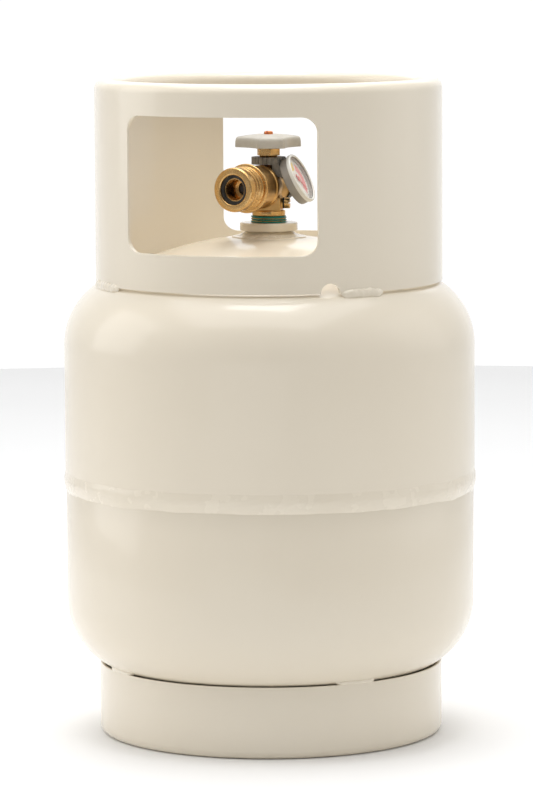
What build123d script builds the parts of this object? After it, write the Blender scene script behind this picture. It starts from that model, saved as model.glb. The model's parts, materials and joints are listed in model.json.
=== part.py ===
from build123d import *
import os
from math import asin, cos, degrees, pi, radians, sin, sqrt

# Portable propane tank: a two-piece welded vessel with a collar, a foot ring
# and a brass service valve that carries a level gauge. Millimetres, +Z up,
# origin on the tank's axis at the surface that it stands on. Azimuths are
# degrees from -Y, where the front hand window is, turning towards +X.

# Vessel
UPPER_R = 155.25
LOWER_R = 154.5
WALL = 2.2
CROWN_R = 252.0
KNUCKLE_R = 55.0
GIRTH_Z = 192.7
UPPER_TANGENT_Z = 295.6
LOWER_TANGENT_Z = 102.0
JOGGLE_LAP = 12.0
GIRTH_BEAD_W = 14.0
GIRTH_BEAD_H = 1.6
JOGGLE_Z = (GIRTH_Z - 5.0, GIRTH_Z - 2.0)

# Collar and its two hand windows
TANK_H = 496.0
COLLAR_R = 130.9
COLLAR_T = 2.8
COLLAR_Z = 343.4
RIM_ROLL_R = 8.0
RIM_LIP = 4.0
WINDOW_W = 147.3
WINDOW_AZ = 2.05
WINDOW_Z = (371.0, 472.0)
WINDOW_CORNER_R = 11.0
DRAIN_R = 7.5
DRAIN_AZ = 40.3
COLLAR_BEAD_R = 4.2
COLLAR_BEADS = ((52.0, 16.0), (-50.0, 24.0))

# Foot ring
FOOT_R = 130.2
FOOT_T = 2.8
FOOT_TOP_Z = 53.3
FOOT_ROLL_R = 6.0
FOOT_FLAT_IN_R = 112.0
FOOT_BEAD_R = 3.4
FOOT_BEAD_AZ = 49.5
FOOT_BEAD_SPAN = 14.5

# Threaded boss in the crown
BUNG_R = 21.75
BUNG_Z = (381.0, 387.0)
BUNG_NECK_R = 17.5
BUNG_BOTTOM_Z = 365.0
BUNG_BORE_R = 13.4
BUNG_FILLET_R = 27.0
BUNG_FILLET_MID = (21.5, 2.6)
BUNG_FILLET_DROP = 4.6
BUNG_FILLET_DEEP = 9.0

# Valve body: everything on it is set out about the outlet, which points at
# azimuth VALVE_YAW. The wrench block below it is turned by BLOCK_YAW.
VALVE_YAW = -10.0
BLOCK_YAW = 14.0
SHANK_R = 13.3
SHANK_Z = 362.0
FLANGE_R = 12.5
FLANGE_Z = (391.8, 395.8)
BLOCK_HALF = 9.8
BLOCK_TOP_Z = 406.2
TOWER_R = 9.5
TOWER_TOP_Z = 427.0
BONNET_WASHER_T = 1.0
SEAT_Z = 404.0
SEAT_R = 4.6
SEAT_DISC_R = 5.4
INLET_R = 3.5
CHAMBER_R = 6.0
CHAMBER_TOP_Z = 418.0
THREAD_RIDGE = 0.7

# Outlet, along the valve's -Y, with depths measured back from its face
OUTLET_Z = 414.2
OUTLET_FACE = 53.0
OUTLET_R = 16.65
LIP_LEN = 6.0
ACME_PITCH = 2.54 * 5 / 3
ACME_RIDGES = 3
DISC_R = 18.5
DISC_DEPTH = (18.6, 21.6)
BARREL_R = (17.3, 15.0)
BARREL_END = 43.0
MOUTH_R = 11.15
MOUTH_LEN = 9.0
THROAT_R = 8.0
SEAL_BORE_R = 8.9
SEAL_DEPTH = (2.0, 6.5)
RETAINER_LIP_R = 8.6
RETAINER_LIP_DEPTH = 3.2
CHECK_SEAT = (17.5, 19.0)
CHECK_SEAT_R = 5.4
CHECK_CHAMBER_END = 36.0
PLUNGER_TIP = 14.0
PLUNGER_R = 3.4
PLUNGER_DISC_R = 6.8
PLUNGER_DISC_END = 22.0
PLUNGER_GUIDE_R = 2.0
CHECK_COIL_R = 4.6
CHECK_WIRE_R = 0.6
CHECK_COIL_TURNS = 5
CHECK_TRAVEL = 4.0

# Bonnet, stems and handwheel
BONNET_NECK_R = 7.0
BONNET_HEX_R = 9.1
BONNET_HEX_Z = (437.4, 442.9)
BONNET_BORE_R = 4.55
BONNET_BORE_TOP_Z = 431.0
STEM_R = 2.8
STEM_BORE_R = 2.85
ORING_GROOVE_R = 4.75
ORING_GROOVE_Z = (434.0, 436.2)
ORING_R = 3.85
ORING_WIRE_R = 0.85
SPINDLE_R = 4.5
SPINDLE_Z = (408.4, 424.0)
SPINDLE_LIFT = 3.0
TANG_HALF = 2.0
TANG_END_Z = 415.0
WHEEL_Z = (443.5, 451.5)
WHEEL_LOBE_R = 23.6
WHEEL_CROWN = 0.5
WHEEL_LOBE_W = 20.8
WHEEL_SCALLOP_R = 17.5
WHEEL_DOME_R = (16.0, 8.0)
WHEEL_TOP_Z = 453.3
WHEEL_AZ = 25.7
WHEEL_SKIRT_T = 2.4
WHEEL_HUB_R = 6.0
SCREW_R = 3.5
SCREW_TOP_Z = 455.6
SCREW_SLOT_W = 1.2
SCREW_SLOT_H = 1.4

# Relief valve, along the valve's +Y
RELIEF_Z = 411.0
RELIEF_R = 8.2
RELIEF_END = 20.0
RELIEF_CHAMBER = 11.0
RELIEF_CHAMBER_R = 5.6
RELIEF_SEAT_R = 2.6
RELIEF_LIFT = 1.6
RELIEF_RETAINER = (18.4, 19.6)
RELIEF_RETAINER_BORE_R = 2.4
RELIEF_CAP_R = 9.1
RELIEF_CAP_END = 23.2
POPPET_R = 4.6
POPPET_DISC_R = 4.4
POPPET_STEM_R = 1.6
POPPET_HEAD = (12.5, 13.5)
RELIEF_COIL_R = 3.4
RELIEF_WIRE_R = 0.35
RELIEF_COIL_TURNS = 2.5
RELIEF_DUCT_Y = 8.2
RELIEF_DUCT_R = 1.5

# Bleeder, along the block's +X, with the dip tube below it
BLEEDER_Z = 401.4
BLEEDER_R = 4.4
BLEEDER_PORT = 8.0
BLEEDER_HEAD = (12.1, 16.2)
BLEEDER_SLOT_W = 1.1
DIP_TUBE_R = 2.0
DIP_TUBE_LEN = 90.0

# Level float, overfill stop and the shaft that drives the gauge's magnet
HOUSING_R = 11.5
HOUSING_Z = (318.0, 362.0)
PISTON_R = 5.0
PISTON_STEM_R = 1.2
PISTON_Z = (338.0, 352.0)
FLOAT_PIN_Z = 324.0
PIN_R = 1.5
HUB_R = 4.0
HUB_W = 7.6
FORK_W = 8.6
ARM_R = 1.6
FLOAT_ARM_LEN = 70.0
FLOAT_LEN = 60.0
FLOAT_SOCKET = 20.0
FLOAT_R = 11.0
FLOAT_YAW = -45.0
GAUGE_ROD_XY = 6.3
GAUGE_ROD_R = 1.1
GAUGE_ROD_TOP_Z = 403.5

# Level gauge, set out on its face: centre, then outward tilt above level
GAUGE_CENTRE = (26.5, 2.0, 421.2)
GAUGE_TILT = 25.7
GAUGE_R = 18.6
GAUGE_DEPTH = 9.5
GAUGE_WALL = 1.5
BEZEL_R = 19.25
BEZEL_T = 2.0
LENS_R = 16.8
DIAL_R = 16.9
DIAL_HOLE_R = 1.2
DIAL_DEPTH = (-4.6, -4.0)
LENS_DEPTH = (-2.0, -0.9)
MAGNET_R = 5.0
MAGNET_T = 2.3
NEEDLE_REST = -48.0
NEEDLE_ENDS = (-4.5, 12.5)
NEEDLE_HALF_W = (1.1, 0.35)
NEEDLE_LOW = -3.4
NEEDLE_T = 0.5
NEEDLE_HUB_R = 2.2
NEEDLE_HUB_DEPTH = (-3.6, -2.6)
NEEDLE_SHAFT_R = 0.8
NEEDLE_SHAFT_TOP = -3.0
GASKET_R = 13.0
GASKET_T = 1.2
GASKET_GAP_R = 11.7
BRACKET_R = 12.9
BRACKET_Z = (430.7, 436.2)
BRACKET_NOTCHES = 24
BRACKET_NOTCH_R = 0.5
WEB_SIZE = (12.0, 20.0)
WEB_LOW_Z = 421.7

CLEAR = 0.3
FIT = 0.05

VALVE = Rot(0, 0, VALVE_YAW)
BLOCK = Rot(0, 0, BLOCK_YAW)
FLOAT = Rot(0, 0, FLOAT_YAW)
GAUGE_NORMAL = Vector(cos(radians(GAUGE_TILT)), 0.05, sin(radians(GAUGE_TILT)))
GAUGE_FACE = Plane(origin=GAUGE_CENTRE, x_dir=(0, 1, 0), z_dir=GAUGE_NORMAL)


def revolved(outline):
    """Turn a closed outline, drawn in (radius, z), about the tank's axis."""
    return revolve(Plane.XZ * make_face(outline), Axis.Z)


def rod(radius, z_low, z_high, x=0.0, y=0.0):
    """A round bar along +Z."""
    bar = Cylinder(radius, z_high - z_low, align=(Align.CENTER, Align.CENTER, Align.MIN))
    return Pos(x, y, z_low) * bar


def tube(outer, inner, z_low, z_high):
    """A round tube along +Z."""
    return rod(outer, z_low, z_high) - rod(inner, z_low - 1, z_high + 1)


def block(size_x, size_y, z_low, z_high, x=0.0, y=0.0):
    """A rectangular bar along +Z."""
    box = Box(size_x, size_y, z_high - z_low, align=(Align.CENTER, Align.CENTER, Align.MIN))
    return Pos(x, y, z_low) * box


def along_outlet(shape):
    """Lay a part built with +Z as its depth behind the outlet's face."""
    return VALVE * Pos(0, -OUTLET_FACE, OUTLET_Z) * Rot(-90, 0, 0) * shape


def along_relief(shape):
    """Lay a part built with +Z as its distance behind the valve's axis."""
    return VALVE * Pos(0, 0, RELIEF_Z) * Rot(-90, 0, 0) * shape


def along_bleeder(shape):
    """Lay a part built with +Z as its distance out along the block's +X."""
    return BLOCK * Pos(0, 0, BLEEDER_Z) * Rot(0, 90, 0) * shape


def along_pin(shape):
    """Lay a part built along +Z on the float's pin."""
    return FLOAT * Pos(0, 0, FLOAT_PIN_Z) * Rot(0, 90, 0) * shape


def coil(radius, wire, z_low, z_high, turns):
    """A helical spring of round wire, wound about +Z."""
    height = z_high - z_low - 2 * wire
    path = Helix(height / turns, height, radius)
    section = Plane(origin=path @ 0, z_dir=path % 0) * Circle(wire)
    return Pos(0, 0, z_low + wire) * sweep(section, path)


def head_solid(radius, tangent_z, skirt_z, inset=0.0):
    """A filled upper head: skirt, knuckle and crown, shrunk by inset."""
    knuckle = KNUCKLE_R - inset
    crown = CROWN_R - inset
    knuckle_x = radius - KNUCKLE_R
    crown_z = tangent_z - sqrt((CROWN_R - KNUCKLE_R) ** 2 - knuckle_x ** 2)
    turn = asin(knuckle_x / (CROWN_R - KNUCKLE_R))
    mid = (pi / 2 + turn) / 2
    skirt = (radius - inset, skirt_z)
    tangent = (radius - inset, tangent_z)
    knuckle_mid = (knuckle_x + knuckle * sin(mid), tangent_z + knuckle * cos(mid))
    blend = (crown * sin(turn), crown_z + crown * cos(turn))
    crown_mid = (crown * sin(turn / 2), crown_z + crown * cos(turn / 2))
    apex = (0, crown_z + crown)
    outline = [
        Line((0, skirt_z), skirt),
        Line(skirt, tangent),
        ThreePointArc(tangent, knuckle_mid, blend),
        ThreePointArc(blend, crown_mid, apex),
        Line(apex, (0, skirt_z)),
    ]
    return revolved(outline)


def lower_head_solid(inset=0.0, skirt_z=JOGGLE_Z[0] + 1.0):
    """A filled lower head, the upper head's form turned over."""
    mirrored = head_solid(LOWER_R, -LOWER_TANGENT_Z, -skirt_z, inset)
    return mirror(mirrored, Plane.XY)


def upper_shell():
    """Drawn upper half with the hole for the threaded boss."""
    outside = head_solid(UPPER_R, UPPER_TANGENT_Z, JOGGLE_Z[1])
    inside = head_solid(UPPER_R, UPPER_TANGENT_Z, JOGGLE_Z[0], WALL)
    shell = outside - inside
    return shell - rod(BUNG_NECK_R, BUNG_BOTTOM_Z, BUNG_Z[1])


def lower_shell():
    """Drawn lower half, its edge joggled in to lap behind the upper half."""
    straight_z, joggle_z = JOGGLE_Z
    lap_r = UPPER_R - WALL - FIT
    shell = lower_head_solid(0, straight_z) - lower_head_solid(WALL, GIRTH_Z)
    lap = Polyline(
        (LOWER_R - WALL, straight_z), (LOWER_R, straight_z), (lap_r, joggle_z),
        (lap_r, joggle_z + JOGGLE_LAP), (lap_r - WALL, joggle_z + JOGGLE_LAP),
        (lap_r - WALL, joggle_z), close=True,
    )
    return shell + revolved(lap)


def girth_weld():
    """Bead that fills the joggle and stands proud of both halves."""
    half = GIRTH_BEAD_W / 2
    low = (LOWER_R, GIRTH_Z - half)
    high = (UPPER_R, GIRTH_Z + half)
    proud = (UPPER_R + GIRTH_BEAD_H, GIRTH_Z)
    upper_edge = (UPPER_R, JOGGLE_Z[1])
    groove = (UPPER_R - WALL - FIT, JOGGLE_Z[1])
    lower_edge = (LOWER_R, JOGGLE_Z[0])
    outline = [
        ThreePointArc(low, proud, high),
        Line(high, upper_edge),
        Line(upper_edge, groove),
        Line(groove, lower_edge),
        Line(lower_edge, low),
    ]
    return revolved(outline)


def valve_bung():
    """Threaded boss with a flange above the crown and a neck through it."""
    boss = rod(BUNG_R, *BUNG_Z) + rod(BUNG_NECK_R, BUNG_BOTTOM_Z, BUNG_Z[0])
    boss = chamfer(boss.edges().filter_by(GeomType.CIRCLE).group_by(Axis.Z)[-1], 0.8)
    return boss - rod(BUNG_BORE_R, BUNG_BOTTOM_Z - 1, BUNG_Z[1] + 1)


def bung_weld():
    """Fillet weld from the boss's neck out over the crown."""
    top_z = BUNG_Z[0] - CLEAR
    deep_z = top_z - BUNG_FILLET_DEEP
    neck_top = (BUNG_NECK_R, top_z)
    shoulder = (BUNG_NECK_R + 1.5, top_z)
    mid = (BUNG_FILLET_MID[0], top_z - BUNG_FILLET_MID[1])
    toe = (BUNG_FILLET_R, top_z - BUNG_FILLET_DROP)
    outline = [
        Line(neck_top, shoulder),
        ThreePointArc(shoulder, mid, toe),
        Line(toe, (BUNG_FILLET_R, deep_z)),
        Line((BUNG_FILLET_R, deep_z), (BUNG_NECK_R, deep_z)),
        Line((BUNG_NECK_R, deep_z), neck_top),
    ]
    return revolved(outline) - head_solid(UPPER_R, UPPER_TANGENT_Z, GIRTH_Z)


def collar():
    """Rolled guard with two hand windows, a turned-in rim and two drains."""
    roll_z = TANK_H - RIM_ROLL_R
    inner_roll = RIM_ROLL_R - COLLAR_T
    crest = COLLAR_R - RIM_ROLL_R
    lip_out = COLLAR_R - 2 * RIM_ROLL_R
    lip_in = lip_out + COLLAR_T
    outline = [
        Line((COLLAR_R, COLLAR_Z), (COLLAR_R, roll_z)),
        ThreePointArc((COLLAR_R, roll_z), (crest, TANK_H), (lip_out, roll_z)),
        Line((lip_out, roll_z), (lip_out, roll_z - RIM_LIP)),
        Line((lip_out, roll_z - RIM_LIP), (lip_in, roll_z - RIM_LIP)),
        Line((lip_in, roll_z - RIM_LIP), (lip_in, roll_z)),
        ThreePointArc((lip_in, roll_z), (crest, roll_z + inner_roll), (COLLAR_R - COLLAR_T, roll_z)),
        Line((COLLAR_R - COLLAR_T, roll_z), (COLLAR_R - COLLAR_T, COLLAR_Z)),
        Line((COLLAR_R - COLLAR_T, COLLAR_Z), (COLLAR_R, COLLAR_Z)),
    ]
    guard = revolved(outline)
    pane = Plane.XZ * RectangleRounded(WINDOW_W, WINDOW_Z[1] - WINDOW_Z[0], WINDOW_CORNER_R)
    window = extrude(pane, 2 * COLLAR_R, both=True)
    guard -= Rot(0, 0, WINDOW_AZ) * Pos(0, 0, sum(WINDOW_Z) / 2) * window
    drain = Rot(90, 0, 0) * Cylinder(DRAIN_R, 4 * COLLAR_R)
    return guard - Rot(0, 0, DRAIN_AZ) * Pos(0, 0, COLLAR_Z) * drain


def weld_bead(radius, z, bead_r, azimuth, span):
    """One run of weld: a round bead along an arc of the tank."""
    section = Plane.XZ * Pos(radius, z) * Circle(bead_r)
    return Rot(0, 0, azimuth - 90 - span / 2) * revolve(section, Axis.Z, span)


def collar_welds():
    """Two unequal runs below the collar, the pair repeated across the tank."""
    runs = [(azimuth + turn, span) for azimuth, span in COLLAR_BEADS for turn in (0, 180)]
    beads = Part() + [weld_bead(COLLAR_R + 0.6, COLLAR_Z - 0.8, COLLAR_BEAD_R, *run) for run in runs]
    beads -= rod(COLLAR_R, COLLAR_Z - 0.01, TANK_H)
    beads -= rod(COLLAR_R - COLLAR_T, COLLAR_Z - 20, TANK_H)
    return beads - head_solid(UPPER_R, UPPER_TANGENT_Z, GIRTH_Z)


def foot_ring():
    """Base ring whose lower edge is rolled in to a flat to stand on."""
    inner_roll = FOOT_ROLL_R - FOOT_T
    turn_r = FOOT_R - FOOT_ROLL_R
    half = cos(pi / 4)
    outer_mid = (turn_r + FOOT_ROLL_R * half, FOOT_ROLL_R * (1 - half))
    inner_mid = (turn_r + inner_roll * half, FOOT_ROLL_R - inner_roll * half)
    outline = [
        Line((FOOT_R, FOOT_TOP_Z), (FOOT_R, FOOT_ROLL_R)),
        ThreePointArc((FOOT_R, FOOT_ROLL_R), outer_mid, (turn_r, 0)),
        Line((turn_r, 0), (FOOT_FLAT_IN_R, 0)),
        Line((FOOT_FLAT_IN_R, 0), (FOOT_FLAT_IN_R, FOOT_T)),
        Line((FOOT_FLAT_IN_R, FOOT_T), (turn_r, FOOT_T)),
        ThreePointArc((turn_r, FOOT_T), inner_mid, (FOOT_R - FOOT_T, FOOT_ROLL_R)),
        Line((FOOT_R - FOOT_T, FOOT_ROLL_R), (FOOT_R - FOOT_T, FOOT_TOP_Z)),
        Line((FOOT_R - FOOT_T, FOOT_TOP_Z), (FOOT_R, FOOT_TOP_Z)),
    ]
    return revolved(outline)


def foot_ring_welds():
    """Four runs of weld between the foot ring and the lower head."""
    place = (FOOT_R + 0.3, FOOT_TOP_Z + 1.6, FOOT_BEAD_R)
    azimuths = [FOOT_BEAD_AZ + 90 * turn for turn in range(4)]
    beads = Part() + [weld_bead(*place, azimuth, FOOT_BEAD_SPAN) for azimuth in azimuths]
    beads -= rod(FOOT_R, 0, FOOT_TOP_Z)
    return beads - lower_head_solid()


def outlet_outside():
    """Outside of the outlet in depth order: lip, thread, disc and barrel."""
    nose = fillet(rod(OUTLET_R, 0, LIP_LEN).edges().group_by(Axis.Z)[0], 1.5)
    root_r = OUTLET_R - THREAD_RIDGE * 2
    outside = nose + rod(root_r, LIP_LEN, DISC_DEPTH[0])
    ridge_w = ACME_PITCH / 2
    for ridge in range(ACME_RIDGES):
        start = LIP_LEN + (ridge + 0.45) * ACME_PITCH
        outside += rod(OUTLET_R, start, start + ridge_w)
    outside += rod(DISC_R, *DISC_DEPTH)
    barrel = Cone(BARREL_R[0], BARREL_R[1], BARREL_END - DISC_DEPTH[1],
                  align=(Align.CENTER, Align.CENTER, Align.MIN))
    return outside + Pos(0, 0, DISC_DEPTH[1]) * barrel


def outlet_inside():
    """Bores of the outlet in depth order: mouth, throat, seat, chamber, duct."""
    inside = rod(MOUTH_R, -1, MOUTH_LEN)
    inside += rod(THROAT_R, MOUTH_LEN, CHECK_SEAT[0])
    inside += rod(CHECK_SEAT_R, CHECK_SEAT[0], CHECK_SEAT[1])
    inside += rod(THROAT_R, CHECK_SEAT[1], CHECK_CHAMBER_END)
    return inside + rod(INLET_R, CHECK_CHAMBER_END, OUTLET_FACE - CHAMBER_R + 1.5)


def valve_body():
    """Forged brass body with every port and bore cut through it."""
    shank = rod(SHANK_R - THREAD_RIDGE, SHANK_Z, FLANGE_Z[0])
    shank += rod(SHANK_R, SHANK_Z + 2, BUNG_Z[1] - 1)
    flange = chamfer(rod(FLANGE_R, *FLANGE_Z).edges().group_by(Axis.Z)[0], 1.2)
    wrench_block = BLOCK * block(2 * BLOCK_HALF, 2 * BLOCK_HALF, FLANGE_Z[1], BLOCK_TOP_Z)
    wrench_block = chamfer(wrench_block.edges().filter_by(Axis.Z), 0.8)
    body = shank + flange + wrench_block + rod(TOWER_R, FLANGE_Z[1], TOWER_TOP_Z)
    body += along_outlet(outlet_outside())
    body += along_relief(rod(RELIEF_R, 0, RELIEF_END))
    body += along_bleeder(rod(BLEEDER_R, 0, BLOCK_HALF + 1.2))
    body -= rod(INLET_R, SHANK_Z - 1, SEAT_Z + 1)
    body -= rod(CHAMBER_R, SEAT_Z - 1.5, CHAMBER_TOP_Z) - rod(SEAT_R, SEAT_Z - 2, SEAT_Z)
    body -= rod(BONNET_NECK_R + FIT, CHAMBER_TOP_Z, TOWER_TOP_Z + 1)
    body -= along_outlet(outlet_inside())
    body -= VALVE * rod(RELIEF_DUCT_R, SHANK_Z - 1, RELIEF_Z, y=RELIEF_DUCT_Y)
    body -= along_relief(rod(RELIEF_SEAT_R, RELIEF_DUCT_Y, RELIEF_CHAMBER))
    body -= along_relief(rod(RELIEF_CHAMBER_R, RELIEF_CHAMBER, RELIEF_END + 1))
    body -= BLOCK * rod(DIP_TUBE_R * 0.6, SHANK_Z - 1, BLEEDER_Z, x=BLEEDER_PORT)
    body -= BLOCK * rod(DIP_TUBE_R + FIT, SHANK_Z - 1, SHANK_Z + 8, x=BLEEDER_PORT)
    body -= along_bleeder(rod(DIP_TUBE_R + FIT, BLEEDER_PORT, BLOCK_HALF + 2))
    hole_top_z = GAUGE_ROD_TOP_Z + CLEAR
    rod_hole = rod(GAUGE_ROD_R + FIT, SHANK_Z - 1, hole_top_z, x=GAUGE_ROD_XY, y=GAUGE_ROD_XY)
    return body - BLOCK * rod_hole


def thread_sealant():
    """Three raised bands of sealant on the thread above the boss."""
    low = BUNG_Z[1]
    height = (FLANGE_Z[0] - low) / 3
    bands = tube(SHANK_R - 0.2, SHANK_R - THREAD_RIDGE, low, FLANGE_Z[0])
    for band in range(3):
        start = low + (band + 0.2) * height
        bands += tube(SHANK_R + 0.2, SHANK_R - THREAD_RIDGE, start, start + 0.6 * height)
    return bands


def bonnet():
    """Screwed gland that carries both stems, with a hexagonal head."""
    neck = rod(BONNET_NECK_R, CHAMBER_TOP_Z + CLEAR, BONNET_HEX_Z[0])
    height = BONNET_HEX_Z[1] - BONNET_HEX_Z[0]
    on_axis = (Align.CENTER, Align.CENTER, Align.MIN)
    head = extrude(RegularPolygon(BONNET_HEX_R, 6), height)
    head &= Cone(BONNET_HEX_R + 3, BONNET_HEX_R - 0.7, height, align=on_axis)
    gland = neck + Pos(0, 0, BONNET_HEX_Z[0]) * head
    gland -= rod(BONNET_BORE_R, CHAMBER_TOP_Z - 1, BONNET_BORE_TOP_Z)
    gland -= rod(STEM_BORE_R, BONNET_BORE_TOP_Z - 1, BONNET_HEX_Z[1] + 1)
    return gland - rod(ORING_GROOVE_R, *ORING_GROOVE_Z)


def bonnet_gasket():
    """Sealing washer on the tower's top."""
    return tube(TOWER_R - 0.6, BONNET_NECK_R, TOWER_TOP_Z, TOWER_TOP_Z + BONNET_WASHER_T)


def upper_stem():
    """Round stem turned by the handwheel, with a square tang below."""
    stem = rod(STEM_R, BONNET_BORE_TOP_Z - 2, WHEEL_TOP_Z)
    return stem + block(2 * TANG_HALF, 2 * TANG_HALF, TANG_END_Z, BONNET_BORE_TOP_Z - 2)


def stem_oring():
    """Seal ring in the gland's groove."""
    return Pos(0, 0, sum(ORING_GROOVE_Z) / 2) * Torus(ORING_R, ORING_WIRE_R)


def lower_spindle():
    """Threaded spindle driven by the tang, which lifts the seat disc."""
    width = 2 * (TANG_HALF + CLEAR)
    floor_z = TANG_END_Z - SPINDLE_LIFT - 2 * CLEAR
    socket = block(width, width, floor_z, SPINDLE_Z[1] + 1)
    return rod(SPINDLE_R, *SPINDLE_Z) - socket


def seat_disc():
    """Rubber disc that closes on the valve's seat."""
    return rod(SEAT_DISC_R, SEAT_Z + CLEAR, SPINDLE_Z[0])


def wheel_outline(inset=0.0):
    """Three flat-ended lobes joined by scallops."""
    lobe_r = WHEEL_LOBE_R - inset
    half_w = WHEEL_LOBE_W / 2 - inset
    corner_r = sqrt(lobe_r ** 2 + half_w ** 2)
    corner_turn = degrees(asin(half_w / corner_r))
    edges = []
    for lobe in range(3):
        start = 120 * lobe
        first = Vector(corner_r, 0).rotate(Axis.Z, start - corner_turn)
        crest = Vector(lobe_r + WHEEL_CROWN, 0).rotate(Axis.Z, start)
        last = Vector(corner_r, 0).rotate(Axis.Z, start + corner_turn)
        dip = Vector(WHEEL_SCALLOP_R - inset, 0).rotate(Axis.Z, start + 60)
        following = Vector(corner_r, 0).rotate(Axis.Z, start + 120 - corner_turn)
        edges += [ThreePointArc(first, crest, last), ThreePointArc(last, dip, following)]
    return make_face(edges)


def handwheel():
    """Moulded three-lobed wheel: a skirted cap with a hub for the stem."""
    height = WHEEL_Z[1] - WHEEL_Z[0]
    cap = extrude(wheel_outline(), height)
    cap = fillet(cap.edges().filter_by(Axis.Z), 1.2)
    cap = fillet(cap.edges().group_by(Axis.Z)[-1], 1.0)
    cap -= extrude(wheel_outline(WHEEL_SKIRT_T), height - WHEEL_SKIRT_T)
    cap += rod(WHEEL_HUB_R, 0, height - 1)
    dome_h = WHEEL_TOP_Z - WHEEL_Z[1]
    cap += Pos(0, 0, height + dome_h / 2) * Cone(*WHEEL_DOME_R, dome_h)
    cap -= rod(STEM_R, -1, height + dome_h + 1)
    return Rot(0, 0, WHEEL_AZ - 90) * Pos(0, 0, WHEEL_Z[0]) * cap


def handwheel_screw():
    """Slotted screw that holds the wheel on its stem."""
    head = fillet(rod(SCREW_R, WHEEL_TOP_Z, SCREW_TOP_Z).edges().group_by(Axis.Z)[-1], 1.2)
    return head - block(SCREW_SLOT_W, 2 * SCREW_R + 1, SCREW_TOP_Z - SCREW_SLOT_H, SCREW_TOP_Z + 1)


def outlet_seal():
    """Black ring just inside the outlet's mouth."""
    return along_outlet(tube(MOUTH_R, SEAL_BORE_R, *SEAL_DEPTH))


def check_retainer():
    """Brass ring behind the seal, with a thin lip that stands inside it."""
    ring = tube(MOUTH_R, THROAT_R, SEAL_DEPTH[1], MOUTH_LEN)
    lip = tube(RETAINER_LIP_R, THROAT_R, RETAINER_LIP_DEPTH, SEAL_DEPTH[1])
    return along_outlet(ring + lip)


def check_plunger():
    """Sprung plunger that shuts the outlet until a connector pushes it in."""
    tip = rod(PLUNGER_R, PLUNGER_TIP, CHECK_SEAT[1] + CLEAR)
    tip = fillet(tip.edges().group_by(Axis.Z)[0], 1.4)
    disc = rod(PLUNGER_DISC_R, CHECK_SEAT[1] + CLEAR, PLUNGER_DISC_END)
    guide = rod(PLUNGER_GUIDE_R, PLUNGER_DISC_END, CHECK_CHAMBER_END - CHECK_TRAVEL - 1)
    return along_outlet(tip + disc + guide)


def check_spring():
    """Spring behind the plunger, short enough to clear at full travel."""
    end = CHECK_CHAMBER_END - CHECK_TRAVEL - CLEAR
    return along_outlet(coil(CHECK_COIL_R, CHECK_WIRE_R, PLUNGER_DISC_END, end, CHECK_COIL_TURNS))


def relief_poppet():
    """Sprung poppet that holds the relief port shut."""
    head = rod(POPPET_R, *POPPET_HEAD)
    return along_relief(head + rod(POPPET_STEM_R, POPPET_HEAD[1], RELIEF_END))


def relief_disc():
    """Rubber face of the relief poppet."""
    return along_relief(rod(POPPET_DISC_R, RELIEF_CHAMBER + CLEAR, POPPET_HEAD[0]))


def relief_spring():
    """Spring behind the poppet, short enough to clear at full lift."""
    end = RELIEF_RETAINER[0] - RELIEF_LIFT - CLEAR
    return along_relief(coil(RELIEF_COIL_R, RELIEF_WIRE_R, POPPET_HEAD[1], end, RELIEF_COIL_TURNS))


def relief_retainer():
    """Screwed ring that holds the relief spring."""
    return along_relief(tube(RELIEF_CHAMBER_R, RELIEF_RETAINER_BORE_R, *RELIEF_RETAINER))


def relief_cap():
    """Dust cap pressed over the relief valve's end."""
    cap = rod(RELIEF_CAP_R, RELIEF_END - 3, RELIEF_CAP_END)
    cap -= rod(RELIEF_R, RELIEF_END - 4, RELIEF_END + 2)
    return along_relief(fillet(cap.edges().group_by(Axis.Z)[-1], 0.8))


def bleeder_screw():
    """Vent screw that tells when liquid reaches the dip tube."""
    low, high = BLEEDER_HEAD
    head = fillet(rod(BLEEDER_R - 0.3, low, high).edges().group_by(Axis.Z)[-1], 0.7)
    head -= block(BLEEDER_SLOT_W, 2 * BLEEDER_R + 1, high - BLEEDER_SLOT_W, high + 1)
    return along_bleeder(head + rod(DIP_TUBE_R, BLEEDER_PORT + 2, low))


def bleeder_washer():
    """Sealing washer under the vent screw's head."""
    seat = BLOCK_HALF + 1.2
    return along_bleeder(tube(BLEEDER_R - 0.2, DIP_TUBE_R + 0.4, seat, seat + 0.8))


def dip_tube():
    """Tube that reaches the level at which the tank counts as full."""
    low = SHANK_Z + 7.5 - DIP_TUBE_LEN
    straw = rod(DIP_TUBE_R, low, SHANK_Z + 7.5) - rod(DIP_TUBE_R * 0.6, low - 1, SHANK_Z + 8)
    return BLOCK * Pos(BLEEDER_PORT, 0, 0) * straw


def float_housing():
    """Cage below the shank that carries the float's pin and the stop piston."""
    low, high = HOUSING_Z
    cage = rod(HOUSING_R, low, high)
    cage -= rod(PISTON_R + CLEAR, low - 1, high - 6)
    cage -= rod(INLET_R, low, high + 1)
    cage -= FLOAT * block(FORK_W, 4 * HOUSING_R, low - 1, FLOAT_PIN_Z + 10)
    cage -= along_pin(Cylinder(PIN_R, 4 * HOUSING_R))
    relief_way = VALVE * rod(RELIEF_DUCT_R + 0.5, low - 1, high + 1, y=RELIEF_DUCT_Y + 0.6)
    dip_way = BLOCK * rod(DIP_TUBE_R + CLEAR, low - 1, high + 1, x=BLEEDER_PORT)
    drive_way = BLOCK * rod(GAUGE_ROD_R + CLEAR, low - 1, high + 1, x=GAUGE_ROD_XY, y=GAUGE_ROD_XY)
    return cage - relief_way - dip_way - drive_way


def float_pin():
    """Pin on which the float's arm swings."""
    return along_pin(Cylinder(PIN_R, 2 * HOUSING_R - 2))


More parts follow.
